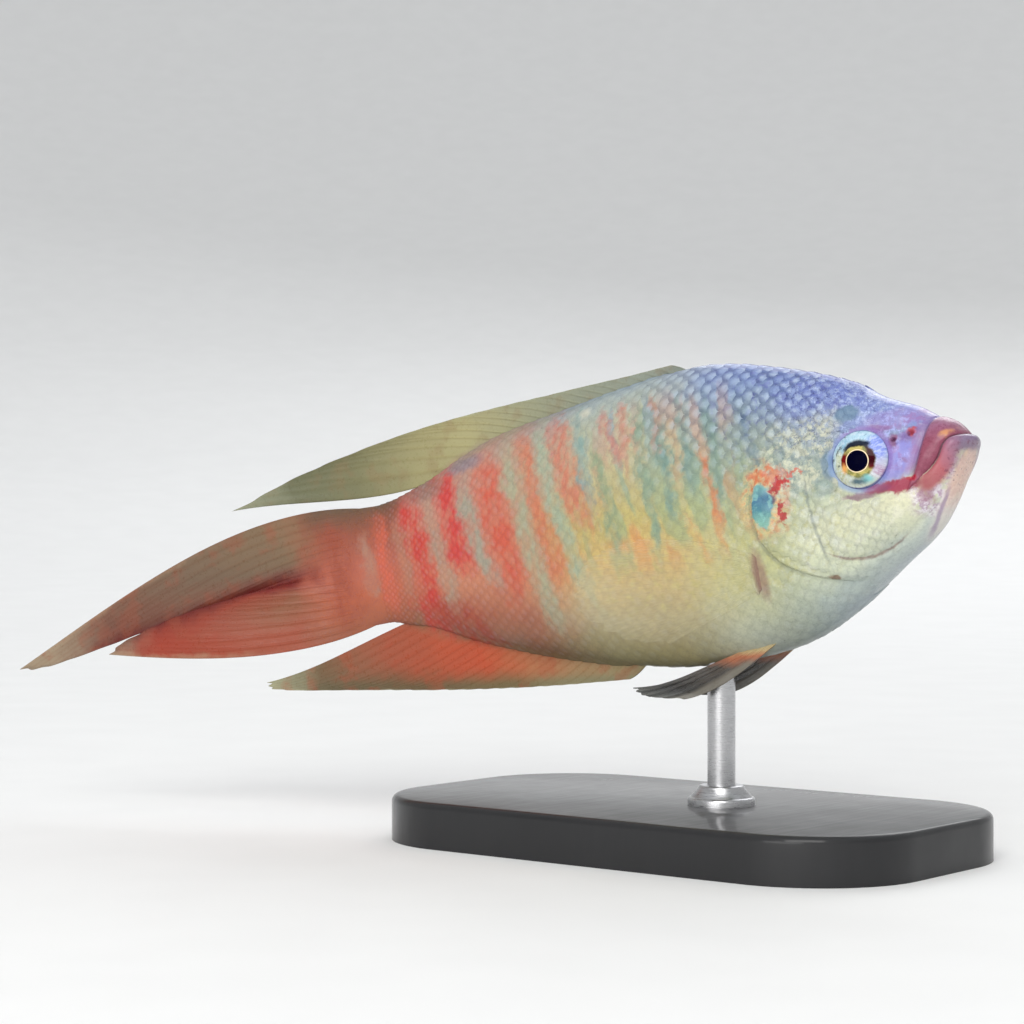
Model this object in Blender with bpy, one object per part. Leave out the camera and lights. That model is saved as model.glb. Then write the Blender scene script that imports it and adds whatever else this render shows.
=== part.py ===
"""A life-size paradise fish on a plain display stand.

The fish is drawn straight first, in millimetres: u runs back from the tip of the snout, y to its
left and z up. place() then bends the tail to the right, tips the head up, sets the fish over the
stand and turns millimetres into metres. In the finished model the head looks along +X, +Z is up,
and the origin is the middle of the underside of the stand's base.
"""

import math

import bmesh
import bpy
from mathutils import Matrix, Vector

MM = 0.001
GAP = 0.3  # kept between two pieces that touch

# The pose: head up, and the tail swung to the fish's right from here back.
HEAD_UP = math.radians(9.6)
TAIL_SWING = math.radians(20.0)
SWING_START = 34.0
SWING_END = 72.0
SWING_PER_MM = TAIL_SWING / (SWING_END - SWING_START)

# The body, from the snout to the root of the tail fin.
LIP_TIP = 0.05
BODY_LENGTH = 61.0
STALK_START = 50.5
SNOUT_ROUND = 1.0
BACK = [(LIP_TIP, 0.75), (0.9, 1.25), (1.6, 2.0), (2.6, 2.7), (4.2, 3.85), (6, 4.75), (7.8, 5.75),
        (9.5, 6.9), (13.1, 8.5), (16.9, 9.8), (20.8, 10.9), (25, 11.5), (33.6, 11.0), (40.4, 10.3),
        (47.2, 9.4), (51.8, 8.0), (55.5, 6.5), (58.7, 5.8), (BODY_LENGTH, 5.5)]
BELLY = [(LIP_TIP, -0.3), (0.9, -1.6), (1.6, -2.9), (2.6, -4.45), (4.2, -6.25), (8.4, -9.0), (12.6, -11.4),
         (16.8, -13.2), (20.9, -14.0), (26, -14.2), (31, -13.9), (35.6, -13.1), (44, -11.1), (52.3, -8.4),
         (57, -6.4), (BODY_LENGTH, -5.7)]
WIDEST_LINE = [(LIP_TIP, 0.35), (1.5, -0.1), (4, -0.6), (9, -1.0), (18, -1.3), (34, -0.9), (50, -0.2),
               (BODY_LENGTH, -0.1)]
HALF_WIDTH = [(LIP_TIP, 1.35), (0.6, 1.9), (1.6, 2.2), (3, 2.6), (5.4, 3.4), (8, 4.15), (12, 5.0),
              (16, 5.6), (20, 5.9), (26, 5.9), (32, 5.6), (38, 5.0), (45, 4.1), (51, 3.2), (56, 2.2),
              (59, 1.5), (BODY_LENGTH, 1.0)]
SECTION_FULLNESS = 0.94
RING_POINTS = 36
HEAD_RING_POINTS = 56

# The head's own lines, each drawn on the side of the fish as (u, z).
GAPE = [(-1.4, 1.0), (0.3, 0.9), (1.1, 0.68), (1.6, 0.2), (2.0, -0.55), (2.6, -1.25), (3.4, -1.85)]
JAW_REAR = [(4.0, -2.9), (4.7, -4.8), (5.7, -6.8), (6.9, -10.5)]
UPPER_JAW_FOLD = [(2.5, 3.2), (2.8, 2.1), (3.1, 1.0), (3.5, -0.1), (3.9, -1.1), (4.3, -1.9)]
CHEEK_LINE = [(4.4, -5.3), (6.2, -6.7), (7.9, -7.4), (10.1, -7.65), (11.9, -7.2), (12.3, -5.6), (12.7, -3.4),
              (13.0, -1.4), (12.9, 0.8)]
GILL_EDGE = [(13.4, 13.0), (14.0, 6.2), (15.3, 3.4), (17.0, 0.9), (18.0, -2.2), (17.7, -4.8), (16.3, -7.0),
             (13.8, -8.5), (11.0, -9.4), (8.6, -10.4), (6.6, -13.0)]
GILL_FRONT = [(17.5, 4.1), (15.4, 3.5), (14.3, 2.0), (13.9, -0.5), (13.5, -2.8), (13.1, -5.2), (12.8, -7.2),
              (12.4, -8.9), (11.8, -12.5)]
GILL_DEPTH = 3.4  # the cover's inner face, out from the middle of the fish
NOSTRILS = [(3.95, 1.75, 0.3), (4.95, 1.3, 0.22)]  # u, z and radius

# The eye, a flattened ball that looks out and a little forward.
EYE_AT = (7.9, 0.2)
EYE_RADIUS = 2.6
EYE_DEPTH = 1.9
EYE_SHOWN_RADIUS = 2.25
EYE_FORWARD = math.radians(13.0)
EYE_UP = math.radians(4.0)

# The fins. A ray is (root u, root z, tip u, tip z, angle at the root, angle at the tip), where a
# root z of None lies on the back or the belly, and angles are in degrees above straight back.
RAY_HALF, WEB_HALF, TIP_HALF = 0.42, 0.25, 0.14
DORSAL = {0: (25.4, None, 27.8, 12.2, 16, 12), 0.25: (32.1, None, 36.4, 12.25, 20, 10),
          0.5: (38.8, None, 46.0, 12.2, 20, 6), 0.72: (44.7, None, 56.4, 11.6, 18, 0),
          0.88: (49.0, None, 68.0, 9.7, 10, -7), 1: (52.2, None, 75.9, 7.4, -10, -4)}
ANAL = {0: (34.2, None, 36.8, -14.2, -12, -10), 0.25: (40.2, None, 45.4, -13.7, -18, -8),
        0.5: (46.2, None, 55.0, -12.8, -20, -4), 0.75: (52.2, None, 66.4, -11.3, -20, 4),
        0.9: (56.0, None, 74.3, -10.2, -16, 4), 1: (58.4, None, 75.2, -9.4, -12, -4)}
TAIL_UPPER = {0: (61.3, 5.4, 101.7, -4.5, 14, -24), 0.2: (61.3, 4.3, 99.0, -4.6, 10, -24),
              0.45: (61.3, 2.9, 91.5, -3.2, 6, -21), 0.75: (61.3, 1.4, 81.0, -1.2, 1, -15),
              1: (61.3, 0.2, 73.0, -0.3, -1, -6)}
TAIL_LOWER = {0: (61.3, -5.5, 91.0, -4.5, -18, 12), 0.2: (61.3, -4.5, 89.3, -3.7, -12, 10),
              0.5: (61.3, -2.9, 83.5, -2.2, -6, 6), 0.78: (61.3, -1.4, 77.0, -1.3, -2, 2),
              1: (61.3, -0.2, 72.5, -0.9, 0, -4)}
PECTORAL = {0: (18.5, -5.9, 26.8, -3.2, 34, 10), 0.22: (18.5, -6.6, 30.4, -4.0, 24, 4),
            0.45: (18.6, -7.3, 32.2, -6.5, 10, -2), 0.65: (18.7, -7.9, 31.6, -9.2, -6, -10),
            0.85: (18.8, -8.5, 28.9, -11.4, -20, -20), 1: (18.9, -9.0, 25.9, -12.2, -34, -28)}
PECTORAL_SPREAD = math.radians(24.0)
PELVIC = {0: (18.8, None, 29.4, -16.7, -26, 0), 0.45: (20.0, None, 33.2, -16.0, -16, 2),
          1: (21.4, None, 34.6, -15.1, -10, 6)}
PELVIC_AT = 1.9
PELVIC_SPREAD = math.radians(4.0)

# The stand: a flat base and one rod up into the belly.
ROD_AT = 27.0
ROD_AHEAD_OF_MIDDLE = 4.0
ROD_RADIUS = 1.2
ROD_DEPTH_IN_BELLY = 3.0
ROD_SINK = 1.5
COLLAR_RADIUS = 2.9
COLLAR_HEIGHT = 1.4
BASE_SIZE = (52.0, 30.0, 4.0)
BASE_CORNER = 10.0
BASE_EDGE = 0.6
BELLY_ABOVE_BASE = 12.0

LEFT, RIGHT = 1, -1


def smooth(stations, at):
    """The value at a place, from a smooth curve through the stations (place, value)."""
    at = min(max(at, stations[0][0]), stations[-1][0])
    i = next(n for n in range(len(stations) - 1) if at <= stations[n + 1][0])
    (x0, v0), (x1, v1) = stations[i], stations[i + 1]

    def slope(n):
        low, high = stations[max(n - 1, 0)], stations[min(n + 1, len(stations) - 1)]
        return (high[1] - low[1]) / (high[0] - low[0])

    t, span = (at - x0) / (x1 - x0), x1 - x0
    return ((2 * t**3 - 3 * t**2 + 1) * v0 + (t**3 - 2 * t**2 + t) * span * slope(i)
            + (3 * t**2 - 2 * t**3) * v1 + (t**3 - t**2) * span * slope(i + 1))


def smooth_line(points, steps=3):
    """The points with more between them, on a smooth curve."""
    places = [(n, p[0]) for n, p in enumerate(points)], [(n, p[1]) for n, p in enumerate(points)]
    count = (len(points) - 1) * steps
    return [Vector((smooth(places[0], k / steps), smooth(places[1], k / steps))) for k in range(count + 1)]


def offset_line(line, distance):
    """The line moved to its left by a distance."""
    moved = []
    for n, point in enumerate(line):
        along = (line[min(n + 1, len(line) - 1)] - line[max(n - 1, 0)]).normalized()
        moved.append(point + Vector((-along.y, along.x)) * distance)
    return moved


def from_line(line, u, z):
    """How far (u, z) is from the line, positive on its left."""
    here, nearest, side = Vector((u, z)), 1e9, 1
    for a, b in zip(line, line[1:]):
        step = b - a
        t = min(max((here - a).dot(step) / step.length_squared, 0), 1)
        away = here - (a + step * t)
        if away.length < nearest:
            nearest = away.length
            side = 1 if step.x * away.y - step.y * away.x > 0 else -1
    return nearest * side


def swing_angle(u):
    return min(max(u - SWING_START, 0), SWING_END - SWING_START) * SWING_PER_MM


def posed(u, y, z):
    """A point of the straight fish, bent and tipped, in millimetres from the tip of the snout."""
    angle = swing_angle(u)
    x, side = -min(u, SWING_START), 0.0
    if u > SWING_START:
        x -= math.sin(angle) / SWING_PER_MM
        side = -(1 - math.cos(angle)) / SWING_PER_MM
    beyond = max(u - SWING_END, 0)
    x -= beyond * math.cos(angle) + y * math.sin(angle)
    side += y * math.cos(angle) - beyond * math.sin(angle)
    return Vector((x * math.cos(HEAD_UP) - z * math.sin(HEAD_UP), side,
                   x * math.sin(HEAD_UP) + z * math.cos(HEAD_UP)))


HOLD = posed(ROD_AT, 0, smooth(BELLY, ROD_AT))
SNOUT_AT = Vector((ROD_AHEAD_OF_MIDDLE, 0, BASE_SIZE[2] + BELLY_ABOVE_BASE)) - HOLD


def place(u, y, z):
    """A point of the straight fish, in metres, where it is in the model."""
    return (posed(u, y, z) + SNOUT_AT) * MM


def section(u):
    """The height of the body's widest line at u, how far it rises and falls from it, and its half width."""
    in_snout = min((u - LIP_TIP) / SNOUT_ROUND, 1)
    blunt = math.sqrt(max(1 - (1 - in_snout) ** 2, 0))
    middle = smooth(WIDEST_LINE, u)
    rise, fall = smooth(BACK, u) - middle, middle - smooth(BELLY, u)
    return middle, rise * blunt, fall * blunt, smooth(HALF_WIDTH, u) * blunt


def side_at(u, z):
    """How far the flank is from the middle of the fish at (u, z), before the head's relief."""
    middle, rise, fall, width = section(u)
    share = min(abs(z - middle) / (rise if z > middle else fall), 1)
    return width * (1 - share ** (2 / SECTION_FULLNESS)) ** (SECTION_FULLNESS / 2)


def belly_at(u, y):
    """The height of the belly at u, y to one side of its middle line."""
    middle, _, fall, width = section(u)
    return middle - fall * (1 - (y / width) ** (2 / SECTION_FULLNESS)) ** (SECTION_FULLNESS / 2)


def bump(distance, width):
    """1 on a line and 0 from width away."""
    t = min(abs(distance) / width, 1)
    return (1 - t * t) ** 2


HEAD_LINES = {name: smooth_line(points) for name, points in
              (("gape", GAPE), ("fold", UPPER_JAW_FOLD), ("cheek", CHEEK_LINE), ("gill", GILL_EDGE))}


def head_relief(u, z):
    """How far the head's lips, folds, eye rim and gill cover stand out from the plain body."""
    if u > 20:
        return 0.0
    towards_corner = min(max((4.2 - u) / 2, 0), 1)
    lips = 0.4 * towards_corner * bump(abs(from_line(HEAD_LINES["gape"], u, z)) - 0.55, 0.9)
    fold = -0.22 * bump(from_line(HEAD_LINES["fold"], u, z), 0.6)
    cheek = from_line(HEAD_LINES["cheek"], u, z)
    cheeks = -0.2 * bump(cheek, 0.6) + 0.18 * bump(cheek - 1.3, 1.2)
    gill = from_line(HEAD_LINES["gill"], u, z)
    cover = 0.38 * bump(gill + 0.9, 2.6) if z < 5 else 0.0
    rim = 0.22 * bump(math.hypot(u - EYE_AT[0], z - EYE_AT[1]) - EYE_SHOWN_RADIUS - 0.75, 0.7)
    return lips + fold + cheeks + cover + rim


def finish(obj, name, colour, roughness=0.4):
    """Names the object and gives it a plain finish of its own."""
    obj.name = obj.data.name = name
    material = bpy.data.materials.new(name)
    material.use_nodes = True
    shader = material.node_tree.nodes["Principled BSDF"]
    shader.inputs["Base Color"].default_value = (*colour, 1)
    shader.inputs["Roughness"].default_value = roughness
    shader.inputs["Metallic"].default_value = 0.0
    obj.data.materials.clear()
    obj.data.materials.append(material)
    obj.data.shade_smooth()
    obj.data.set_sharp_from_angle(angle=math.radians(40))
    return obj


def new_object(bm, name):
    mesh = bpy.data.meshes.new(name)
    bm.to_mesh(mesh)
    bm.free()
    obj = bpy.data.objects.new(name, mesh)
    bpy.context.scene.collection.objects.link(obj)
    return obj


def grid(columns, rows, point):
    """A sheet of columns by rows of squares, its corners placed by point(column, row)."""
    bm = bmesh.new()
    bmesh.ops.create_grid(bm, x_segments=columns, y_segments=rows, size=1)
    bm.verts.ensure_lookup_table()
    for vert in bm.verts:
        vert.co = point(round((vert.co.x + 1) / 2 * columns), round((vert.co.y + 1) / 2 * rows))
    return bm


def body_length(stations, ring_points, relief):
    """A closed length of the body through the stations, with the head's relief or without."""
    def point(column, row):
        u = stations[row]
        middle, rise, fall, width = section(u)
        turn = 2 * math.pi * column / ring_points
        across, upward = math.cos(turn), math.sin(turn)
        y = width * math.copysign(abs(across) ** SECTION_FULLNESS, across)
        high = math.copysign(abs(upward) ** SECTION_FULLNESS, upward)
        z = middle + high * (rise if upward > 0 else fall)
        out = head_relief(u, z) if relief else 0.0
        forward = out * max(0.4 - (u - LIP_TIP) / SNOUT_ROUND, 0)
        return place(u - forward, y + out * across, z + out * upward * 0.5)

    bm = grid(ring_points, len(stations) - 1, point)
    bmesh.ops.remove_doubles(bm, verts=bm.verts, dist=1e-7)
    bmesh.ops.holes_fill(bm, edges=bm.edges)
    bmesh.ops.triangulate(bm, faces=bm.faces)
    bmesh.ops.recalc_face_normals(bm, faces=bm.faces)
    return new_object(bm, "body_length")


def prism(outline, inner, outer):
    """The outline, points (u, z), drawn through the fish from y = inner to y = outer."""
    bm = bmesh.new()
    base = bm.faces.new([bm.verts.new(place(p[0], inner, p[1])) for p in outline])
    made = bmesh.ops.extrude_face_region(bm, geom=[base])["geom"]
    side = place(0, outer, 0) - place(0, inner, 0)
    bmesh.ops.translate(bm, verts=[v for v in made if isinstance(v, bmesh.types.BMVert)], vec=side)
    bmesh.ops.recalc_face_normals(bm, faces=bm.faces)
    return new_object(bm, "prism")


def largest_surface(mesh):
    """Leaves only the largest closed surface of a mesh."""
    bm = bmesh.new()
    bm.from_mesh(mesh)
    left, groups = set(bm.faces), []
    while left:
        group, edge = set(), [left.pop()]
        while edge:
            face = edge.pop()
            group.add(face)
            near = {f for e in face.edges for f in e.link_faces} & left
            left -= near
            edge.extend(near)
        groups.append(group)
    groups.sort(key=lambda faces: sum(f.calc_area() for f in faces))
    bmesh.ops.delete(bm, geom=[f for group in groups[:-1] for f in group], context="FACES")
    bm.to_mesh(mesh)
    bm.free()


def combine(obj, other, operation, keep_other=False):
    """Joins other to obj, cuts it away or keeps only what they share, for good."""
    modifier = obj.modifiers.new("combine", "BOOLEAN")
    modifier.operation, modifier.object = operation, other
    bpy.context.view_layer.update()
    made = bpy.data.meshes.new_from_object(obj.evaluated_get(bpy.context.evaluated_depsgraph_get()))
    obj.modifiers.clear()
    obj.data = made
    largest_surface(made)
    if not keep_other:
        bpy.data.objects.remove(other)
    return obj


def copy_of(obj):
    twin = obj.copy()
    twin.data = obj.data.copy()
    bpy.context.scene.collection.objects.link(twin)
    return twin


def spread(first, last, count):
    return [first + (last - first) * n / count for n in range(count + 1)]


def eyeball(side, grow=0.0):
    """The flattened ball of one eye, grown where it is to cut its own socket."""
    u, z = EYE_AT
    set_in = EYE_DEPTH * math.sqrt(1 - (EYE_SHOWN_RADIUS / EYE_RADIUS) ** 2)
    look = Vector((math.sin(EYE_FORWARD), side * math.cos(EYE_FORWARD), math.sin(EYE_UP))).normalized()
    bm = bmesh.new()
    bmesh.ops.create_uvsphere(bm, u_segments=20, v_segments=12, radius=1)
    bmesh.ops.scale(bm, verts=bm.verts, vec=Vector((EYE_RADIUS + grow, EYE_RADIUS + grow, EYE_DEPTH + grow)))
    bmesh.ops.rotate(bm, verts=bm.verts, matrix=look.to_track_quat("Z", "Y").to_matrix())
    for vert in bm.verts:
        x, y, rise = vert.co - look * set_in
        vert.co = place(u - x, side * side_at(u, z) + y, z + rise)
    return new_object(bm, "eyeball")


def ray_path(rays, share, along, edge_height):
    """The place (u, z) a share of the way through a fin's rays and along one of them."""
    numbers = []
    for n in range(6):
        stations = [(s, edge_height(ray[0]) if ray[n] is None else ray[n]) for s, ray in rays.items()]
        numbers.append(smooth(stations, share))
    root, tip = Vector(numbers[0:2]), Vector(numbers[2:4])
    if rays[0][1] is None:
        root.y = edge_height(root.x)
    start, end = (math.radians(a) for a in numbers[4:6])
    third = (tip - root).length / 3
    a = root + third * Vector((math.cos(start), math.sin(start)))
    b = tip - third * Vector((math.cos(end), math.sin(end)))
    t, s = along, 1 - along
    return root * s**3 + a * 3 * s * s * t + b * 3 * s * t * t + tip * t**3


def fin(name, rays, ray_count, rows, shape, edge_height=None, root_half=RAY_HALF):
    """A fin: a web with a raised ray on every other column, thinner towards its edge.
    shape(u, z, share, along) gives a point's place in the model."""
    columns = 2 * (ray_count - 1)

    def point(column, row):
        share, along = column / columns, row / rows
        u, z = ray_path(rays, share, along, edge_height)
        return shape(u, z, share, along)

    bm = grid(columns, rows, point)
    layer = bm.verts.layers.deform.new()
    bm.verts.ensure_lookup_table()
    for n, vert in enumerate(bm.verts):
        column, along = n % (columns + 1), n // (columns + 1) / rows
        half = RAY_HALF if column % 2 == 0 else WEB_HALF
        half = half + (TIP_HALF - half) * along**1.5 + (root_half - half) * max(0, 1 - along * 8)
        vert[layer][0] = half / root_half
    bmesh.ops.triangulate(bm, faces=bm.faces, quad_method="FIXED")
    obj = new_object(bm, name)
    obj.vertex_groups.new(name="thickness")
    solid = obj.modifiers.new("solid", "SOLIDIFY")
    solid.thickness, solid.offset = 2 * root_half * MM, 0
    solid.vertex_group = "thickness"
    return obj


def make_head_and_trunk():
    """Head, lower jaw, gill covers, trunk and tail stalk, parted along the fish's own lines."""
    gill = smooth_line(GILL_EDGE)
    far = BODY_LENGTH / 2
    ahead = offset_line(gill, GAP / 2) + [Vector((-5, -13)), Vector((-5, 13))]
    behind = offset_line(gill, -GAP / 2) + [Vector((far, -16)), Vector((far, 13))]
    snout = [LIP_TIP + SNOUT_ROUND * (1 - math.cos(math.pi / 2 * n / 5)) for n in (0.4, 1, 2, 3, 4, 5)]
    head = body_length(snout + spread(1.5, 6.0, 11) + spread(6.6, 19.0, 16), HEAD_RING_POINTS, relief=True)
    combine(head, prism(behind, -9, 9), "DIFFERENCE")

    jaw_line = smooth_line(GAPE + JAW_REAR)
    corner = [Vector((-5, -10.5)), Vector((-5, 1.1))]
    jaw = combine(copy_of(head), prism(offset_line(jaw_line, -GAP / 2) + corner, -9, 9), "INTERSECT")
    combine(head, prism(offset_line(jaw_line, GAP / 2) + corner, -9, 9), "DIFFERENCE")
    finish(jaw, "lower_jaw", (0.62, 0.33, 0.37))

    front = smooth_line(GILL_FRONT)
    beyond = [Vector((22, -12.5)), Vector((22, 4.3))]
    for side, name in ((RIGHT, "gill_cover_right"), (LEFT, "gill_cover_left")):
        plate = prism(offset_line(front, GAP / 2) + beyond, side * (GILL_DEPTH + GAP), side * 9)
        cover = combine(copy_of(head), plate, "INTERSECT")
        finish(cover, name, (0.62, 0.66, 0.5))
    beyond[1].y += GAP
    for side in (RIGHT, LEFT):
        combine(head, prism(offset_line(front, -GAP / 2) + beyond, side * GILL_DEPTH, side * 9), "DIFFERENCE")
        combine(head, eyeball(side, GAP), "DIFFERENCE")
        for u, z, radius in NOSTRILS:
            combine(head, nostril(u, z, radius, side), "DIFFERENCE")
    finish(head, "head", (0.45, 0.47, 0.66))

    trunk = body_length(spread(5.5, 18.5, 13) + spread(20.0, STALK_START - GAP / 2, 17), RING_POINTS,
                        relief=False)
    combine(trunk, prism(ahead, -9, 9), "DIFFERENCE")
    combine(trunk, rod(GAP), "DIFFERENCE")
    finish(trunk, "trunk", (0.55, 0.6, 0.55))
    stalk = body_length(spread(STALK_START + GAP / 2, BODY_LENGTH, 6), RING_POINTS, relief=False)
    finish(stalk, "tail_stalk", (0.75, 0.3, 0.2))


def nostril(u, z, radius, side):
    """A short round pin that cuts one nostril."""
    bm = bmesh.new()
    bmesh.ops.create_cone(bm, cap_ends=True, segments=8, radius1=radius, radius2=radius, depth=2.0)
    bmesh.ops.rotate(bm, verts=bm.verts, matrix=Matrix.Rotation(math.pi / 2, 3, "X"))
    for vert in bm.verts:
        vert.co = place(u - vert.co.x, side * side_at(u, z) + vert.co.y, z + vert.co.z)
    return new_object(bm, "nostril")


def make_eyes():
    for side, name in ((RIGHT, "eye_right"), (LEFT, "eye_left")):
        finish(eyeball(side), name, (0.75, 0.78, 0.72), 0.1)


def make_fins():
    """The median fins stand on the back, the belly and the tail stalk, the paired ones on the flanks."""
    def in_middle(lean):
        return lambda u, z, share, along: place(u, lean(share, along), z)

    def above_back(u):
        return smooth(BACK, u) + GAP

    def below_belly(u):
        return smooth(BELLY, u) - GAP

    def below_pelvis(u):
        return belly_at(u, PELVIC_AT) - 2 * GAP

    dorsal = fin("dorsal", DORSAL, 17, 8, in_middle(lambda s, r: -1.1 * s * s * r * r), above_back, 0.55)
    finish(dorsal, "dorsal_fin", (0.5, 0.5, 0.36))
    anal = fin("anal", ANAL, 18, 8, in_middle(lambda s, r: 0.7 * s * s * r * r), below_belly, 0.55)
    finish(anal, "anal_fin", (0.6, 0.32, 0.2))
    upper = fin("upper", TAIL_UPPER, 9, 12, in_middle(lambda s, r: 1.1 * math.sin(2.2 * r) * r), None, 0.75)
    finish(upper, "tail_fin_upper", (0.5, 0.35, 0.27))
    lower = fin("lower", TAIL_LOWER, 8, 12, in_middle(lambda s, r: -0.9 * math.sin(2.6 * r) * r), None, 0.75)
    finish(lower, "tail_fin_lower", (0.6, 0.25, 0.16))

    for side, word in ((RIGHT, "right"), (LEFT, "left")):
        def pectoral_shape(u, z, share, along, side=side):
            root_u, root_z = ray_path(PECTORAL, share, 0, None)
            out = side_at(root_u, root_z) + 2 * GAP + (u - root_u) * math.tan(PECTORAL_SPREAD)
            return place(u, side * (out + 0.7 * along * math.sin(3 * share)), z)

        def pelvic_shape(u, z, share, along, side=side):
            root_u = ray_path(PELVIC, share, 0, below_pelvis)[0]
            return place(u, side * (PELVIC_AT + (u - root_u) * math.tan(PELVIC_SPREAD)), z)

        finish(fin("pectoral", PECTORAL, 9, 8, pectoral_shape), f"pectoral_fin_{word}", (0.6, 0.58, 0.45))
        pelvic = fin("pelvic", PELVIC, 6, 8, pelvic_shape, below_pelvis)
        finish(pelvic, f"pelvic_fin_{word}", (0.3, 0.28, 0.27))


def rod(grow=0.0):
    """The stand's rod, or grown to cut its own socket in the belly."""
    low = (BASE_SIZE[2] - ROD_SINK) if not grow else BASE_SIZE[2] + BELLY_ABOVE_BASE - 6
    high = BASE_SIZE[2] + BELLY_ABOVE_BASE + ROD_DEPTH_IN_BELLY + grow
    bm = bmesh.new()
    radius = (ROD_RADIUS + grow) * MM
    bmesh.ops.create_cone(bm, cap_ends=True, segments=24, radius1=radius, radius2=radius,
                          depth=(high - low) * MM)
    bmesh.ops.translate(bm, verts=bm.verts, vec=Vector((ROD_AHEAD_OF_MIDDLE, 0, (low + high) / 2)) * MM)
    return new_object(bm, "rod")


def make_stand():
    """A flat base with round corners, a collar on it, and the rod that stands in both."""
    length, width, height = BASE_SIZE
    bm = bmesh.new()
    bmesh.ops.create_cube(bm, size=1)
    bmesh.ops.scale(bm, verts=bm.verts, vec=Vector((length, width, height)) * MM)
    bmesh.ops.translate(bm, verts=bm.verts, vec=Vector((0, 0, height / 2 * MM)))
    upright = [e for e in bm.edges if abs(e.verts[0].co.z - e.verts[1].co.z) > height / 2 * MM]
    bmesh.ops.bevel(bm, geom=upright, offset=BASE_CORNER * MM, segments=6, profile=0.5, affect="EDGES",
                    material=-1)
    rims = [e for e in bm.edges if min(v.co.z for v in e.verts) > height * 0.99 * MM]
    bmesh.ops.bevel(bm, geom=rims, offset=BASE_EDGE * MM, segments=2, profile=0.5, affect="EDGES",
                    material=-1)
    base = new_object(bm, "base")
    bm = bmesh.new()
    bmesh.ops.create_cone(bm, cap_ends=True, segments=24, radius1=(ROD_RADIUS + GAP) * MM,
                          radius2=(ROD_RADIUS + GAP) * MM, depth=6 * MM)
    socket_middle = Vector((ROD_AHEAD_OF_MIDDLE, 0, height - ROD_SINK - GAP + 3))
    bmesh.ops.translate(bm, verts=bm.verts, vec=socket_middle * MM)
    combine(base, new_object(bm, "socket"), "DIFFERENCE")
    finish(base, "stand_base", (0.02, 0.02, 0.022), 0.25)

    bm = bmesh.new()
    profile = [(ROD_RADIUS + GAP, 0), (COLLAR_RADIUS, 0), (COLLAR_RADIUS, COLLAR_HEIGHT * 0.5),
               (COLLAR_RADIUS - 0.7, COLLAR_HEIGHT), (ROD_RADIUS + GAP, COLLAR_HEIGHT)]
    low = height + GAP
    verts = [bm.verts.new(Vector((ROD_AHEAD_OF_MIDDLE + r, 0, low + z)) * MM) for r, z in profile]
    edges = [bm.edges.new((a, b)) for a, b in zip(verts, verts[1:] + verts[:1])]
    bmesh.ops.spin(bm, geom=verts + edges, axis=(0, 0, 1), cent=(ROD_AHEAD_OF_MIDDLE * MM, 0, 0),
                   angle=2 * math.pi, steps=24, use_merge=True)
    bmesh.ops.remove_doubles(bm, verts=bm.verts, dist=1e-6)
    bmesh.ops.recalc_face_normals(bm, faces=bm.faces)
    finish(new_object(bm, "collar"), "stand_collar", (0.6, 0.6, 0.62), 0.3)
    finish(rod(), "stand_rod", (0.6, 0.6, 0.62), 0.3)


for old in list(bpy.data.objects):
    bpy.data.objects.remove(old)
make_head_and_trunk()
make_eyes()
make_fins()
make_stand()
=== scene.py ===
import math

import bmesh
import bpy
import numpy as np
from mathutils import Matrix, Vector


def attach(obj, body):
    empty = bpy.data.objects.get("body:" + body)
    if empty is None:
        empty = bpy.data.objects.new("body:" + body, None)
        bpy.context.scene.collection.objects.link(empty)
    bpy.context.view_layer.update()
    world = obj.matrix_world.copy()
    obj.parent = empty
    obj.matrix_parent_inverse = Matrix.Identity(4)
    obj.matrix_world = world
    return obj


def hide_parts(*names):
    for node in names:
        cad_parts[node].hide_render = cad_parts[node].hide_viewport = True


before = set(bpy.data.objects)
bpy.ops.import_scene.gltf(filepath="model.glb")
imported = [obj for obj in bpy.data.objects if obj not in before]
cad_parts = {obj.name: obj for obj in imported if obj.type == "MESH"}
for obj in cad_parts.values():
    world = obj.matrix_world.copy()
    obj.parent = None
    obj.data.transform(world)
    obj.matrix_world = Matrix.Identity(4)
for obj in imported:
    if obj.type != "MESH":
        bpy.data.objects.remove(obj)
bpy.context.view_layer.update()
MM = 0.001


# The studio. A round cove of pale matt card, floor and wall in one sweep with no corner, stands
# about the model. A large soft lamp is beside the head, with weaker ones behind and to the left.
COVE_FLOOR, COVE_BEND, COVE_HEIGHT = 0.4, 1.4, 1.9


def seen(red, green, blue):
    """A colour as a screen shows it, 0 to 255, in the shader's own numbers."""
    shares = [c / 255 for c in (red, green, blue)]
    return (*(c / 12.92 if c <= 0.04045 else ((c + 0.055) / 1.055) ** 2.4 for c in shares), 1.0)


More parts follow.
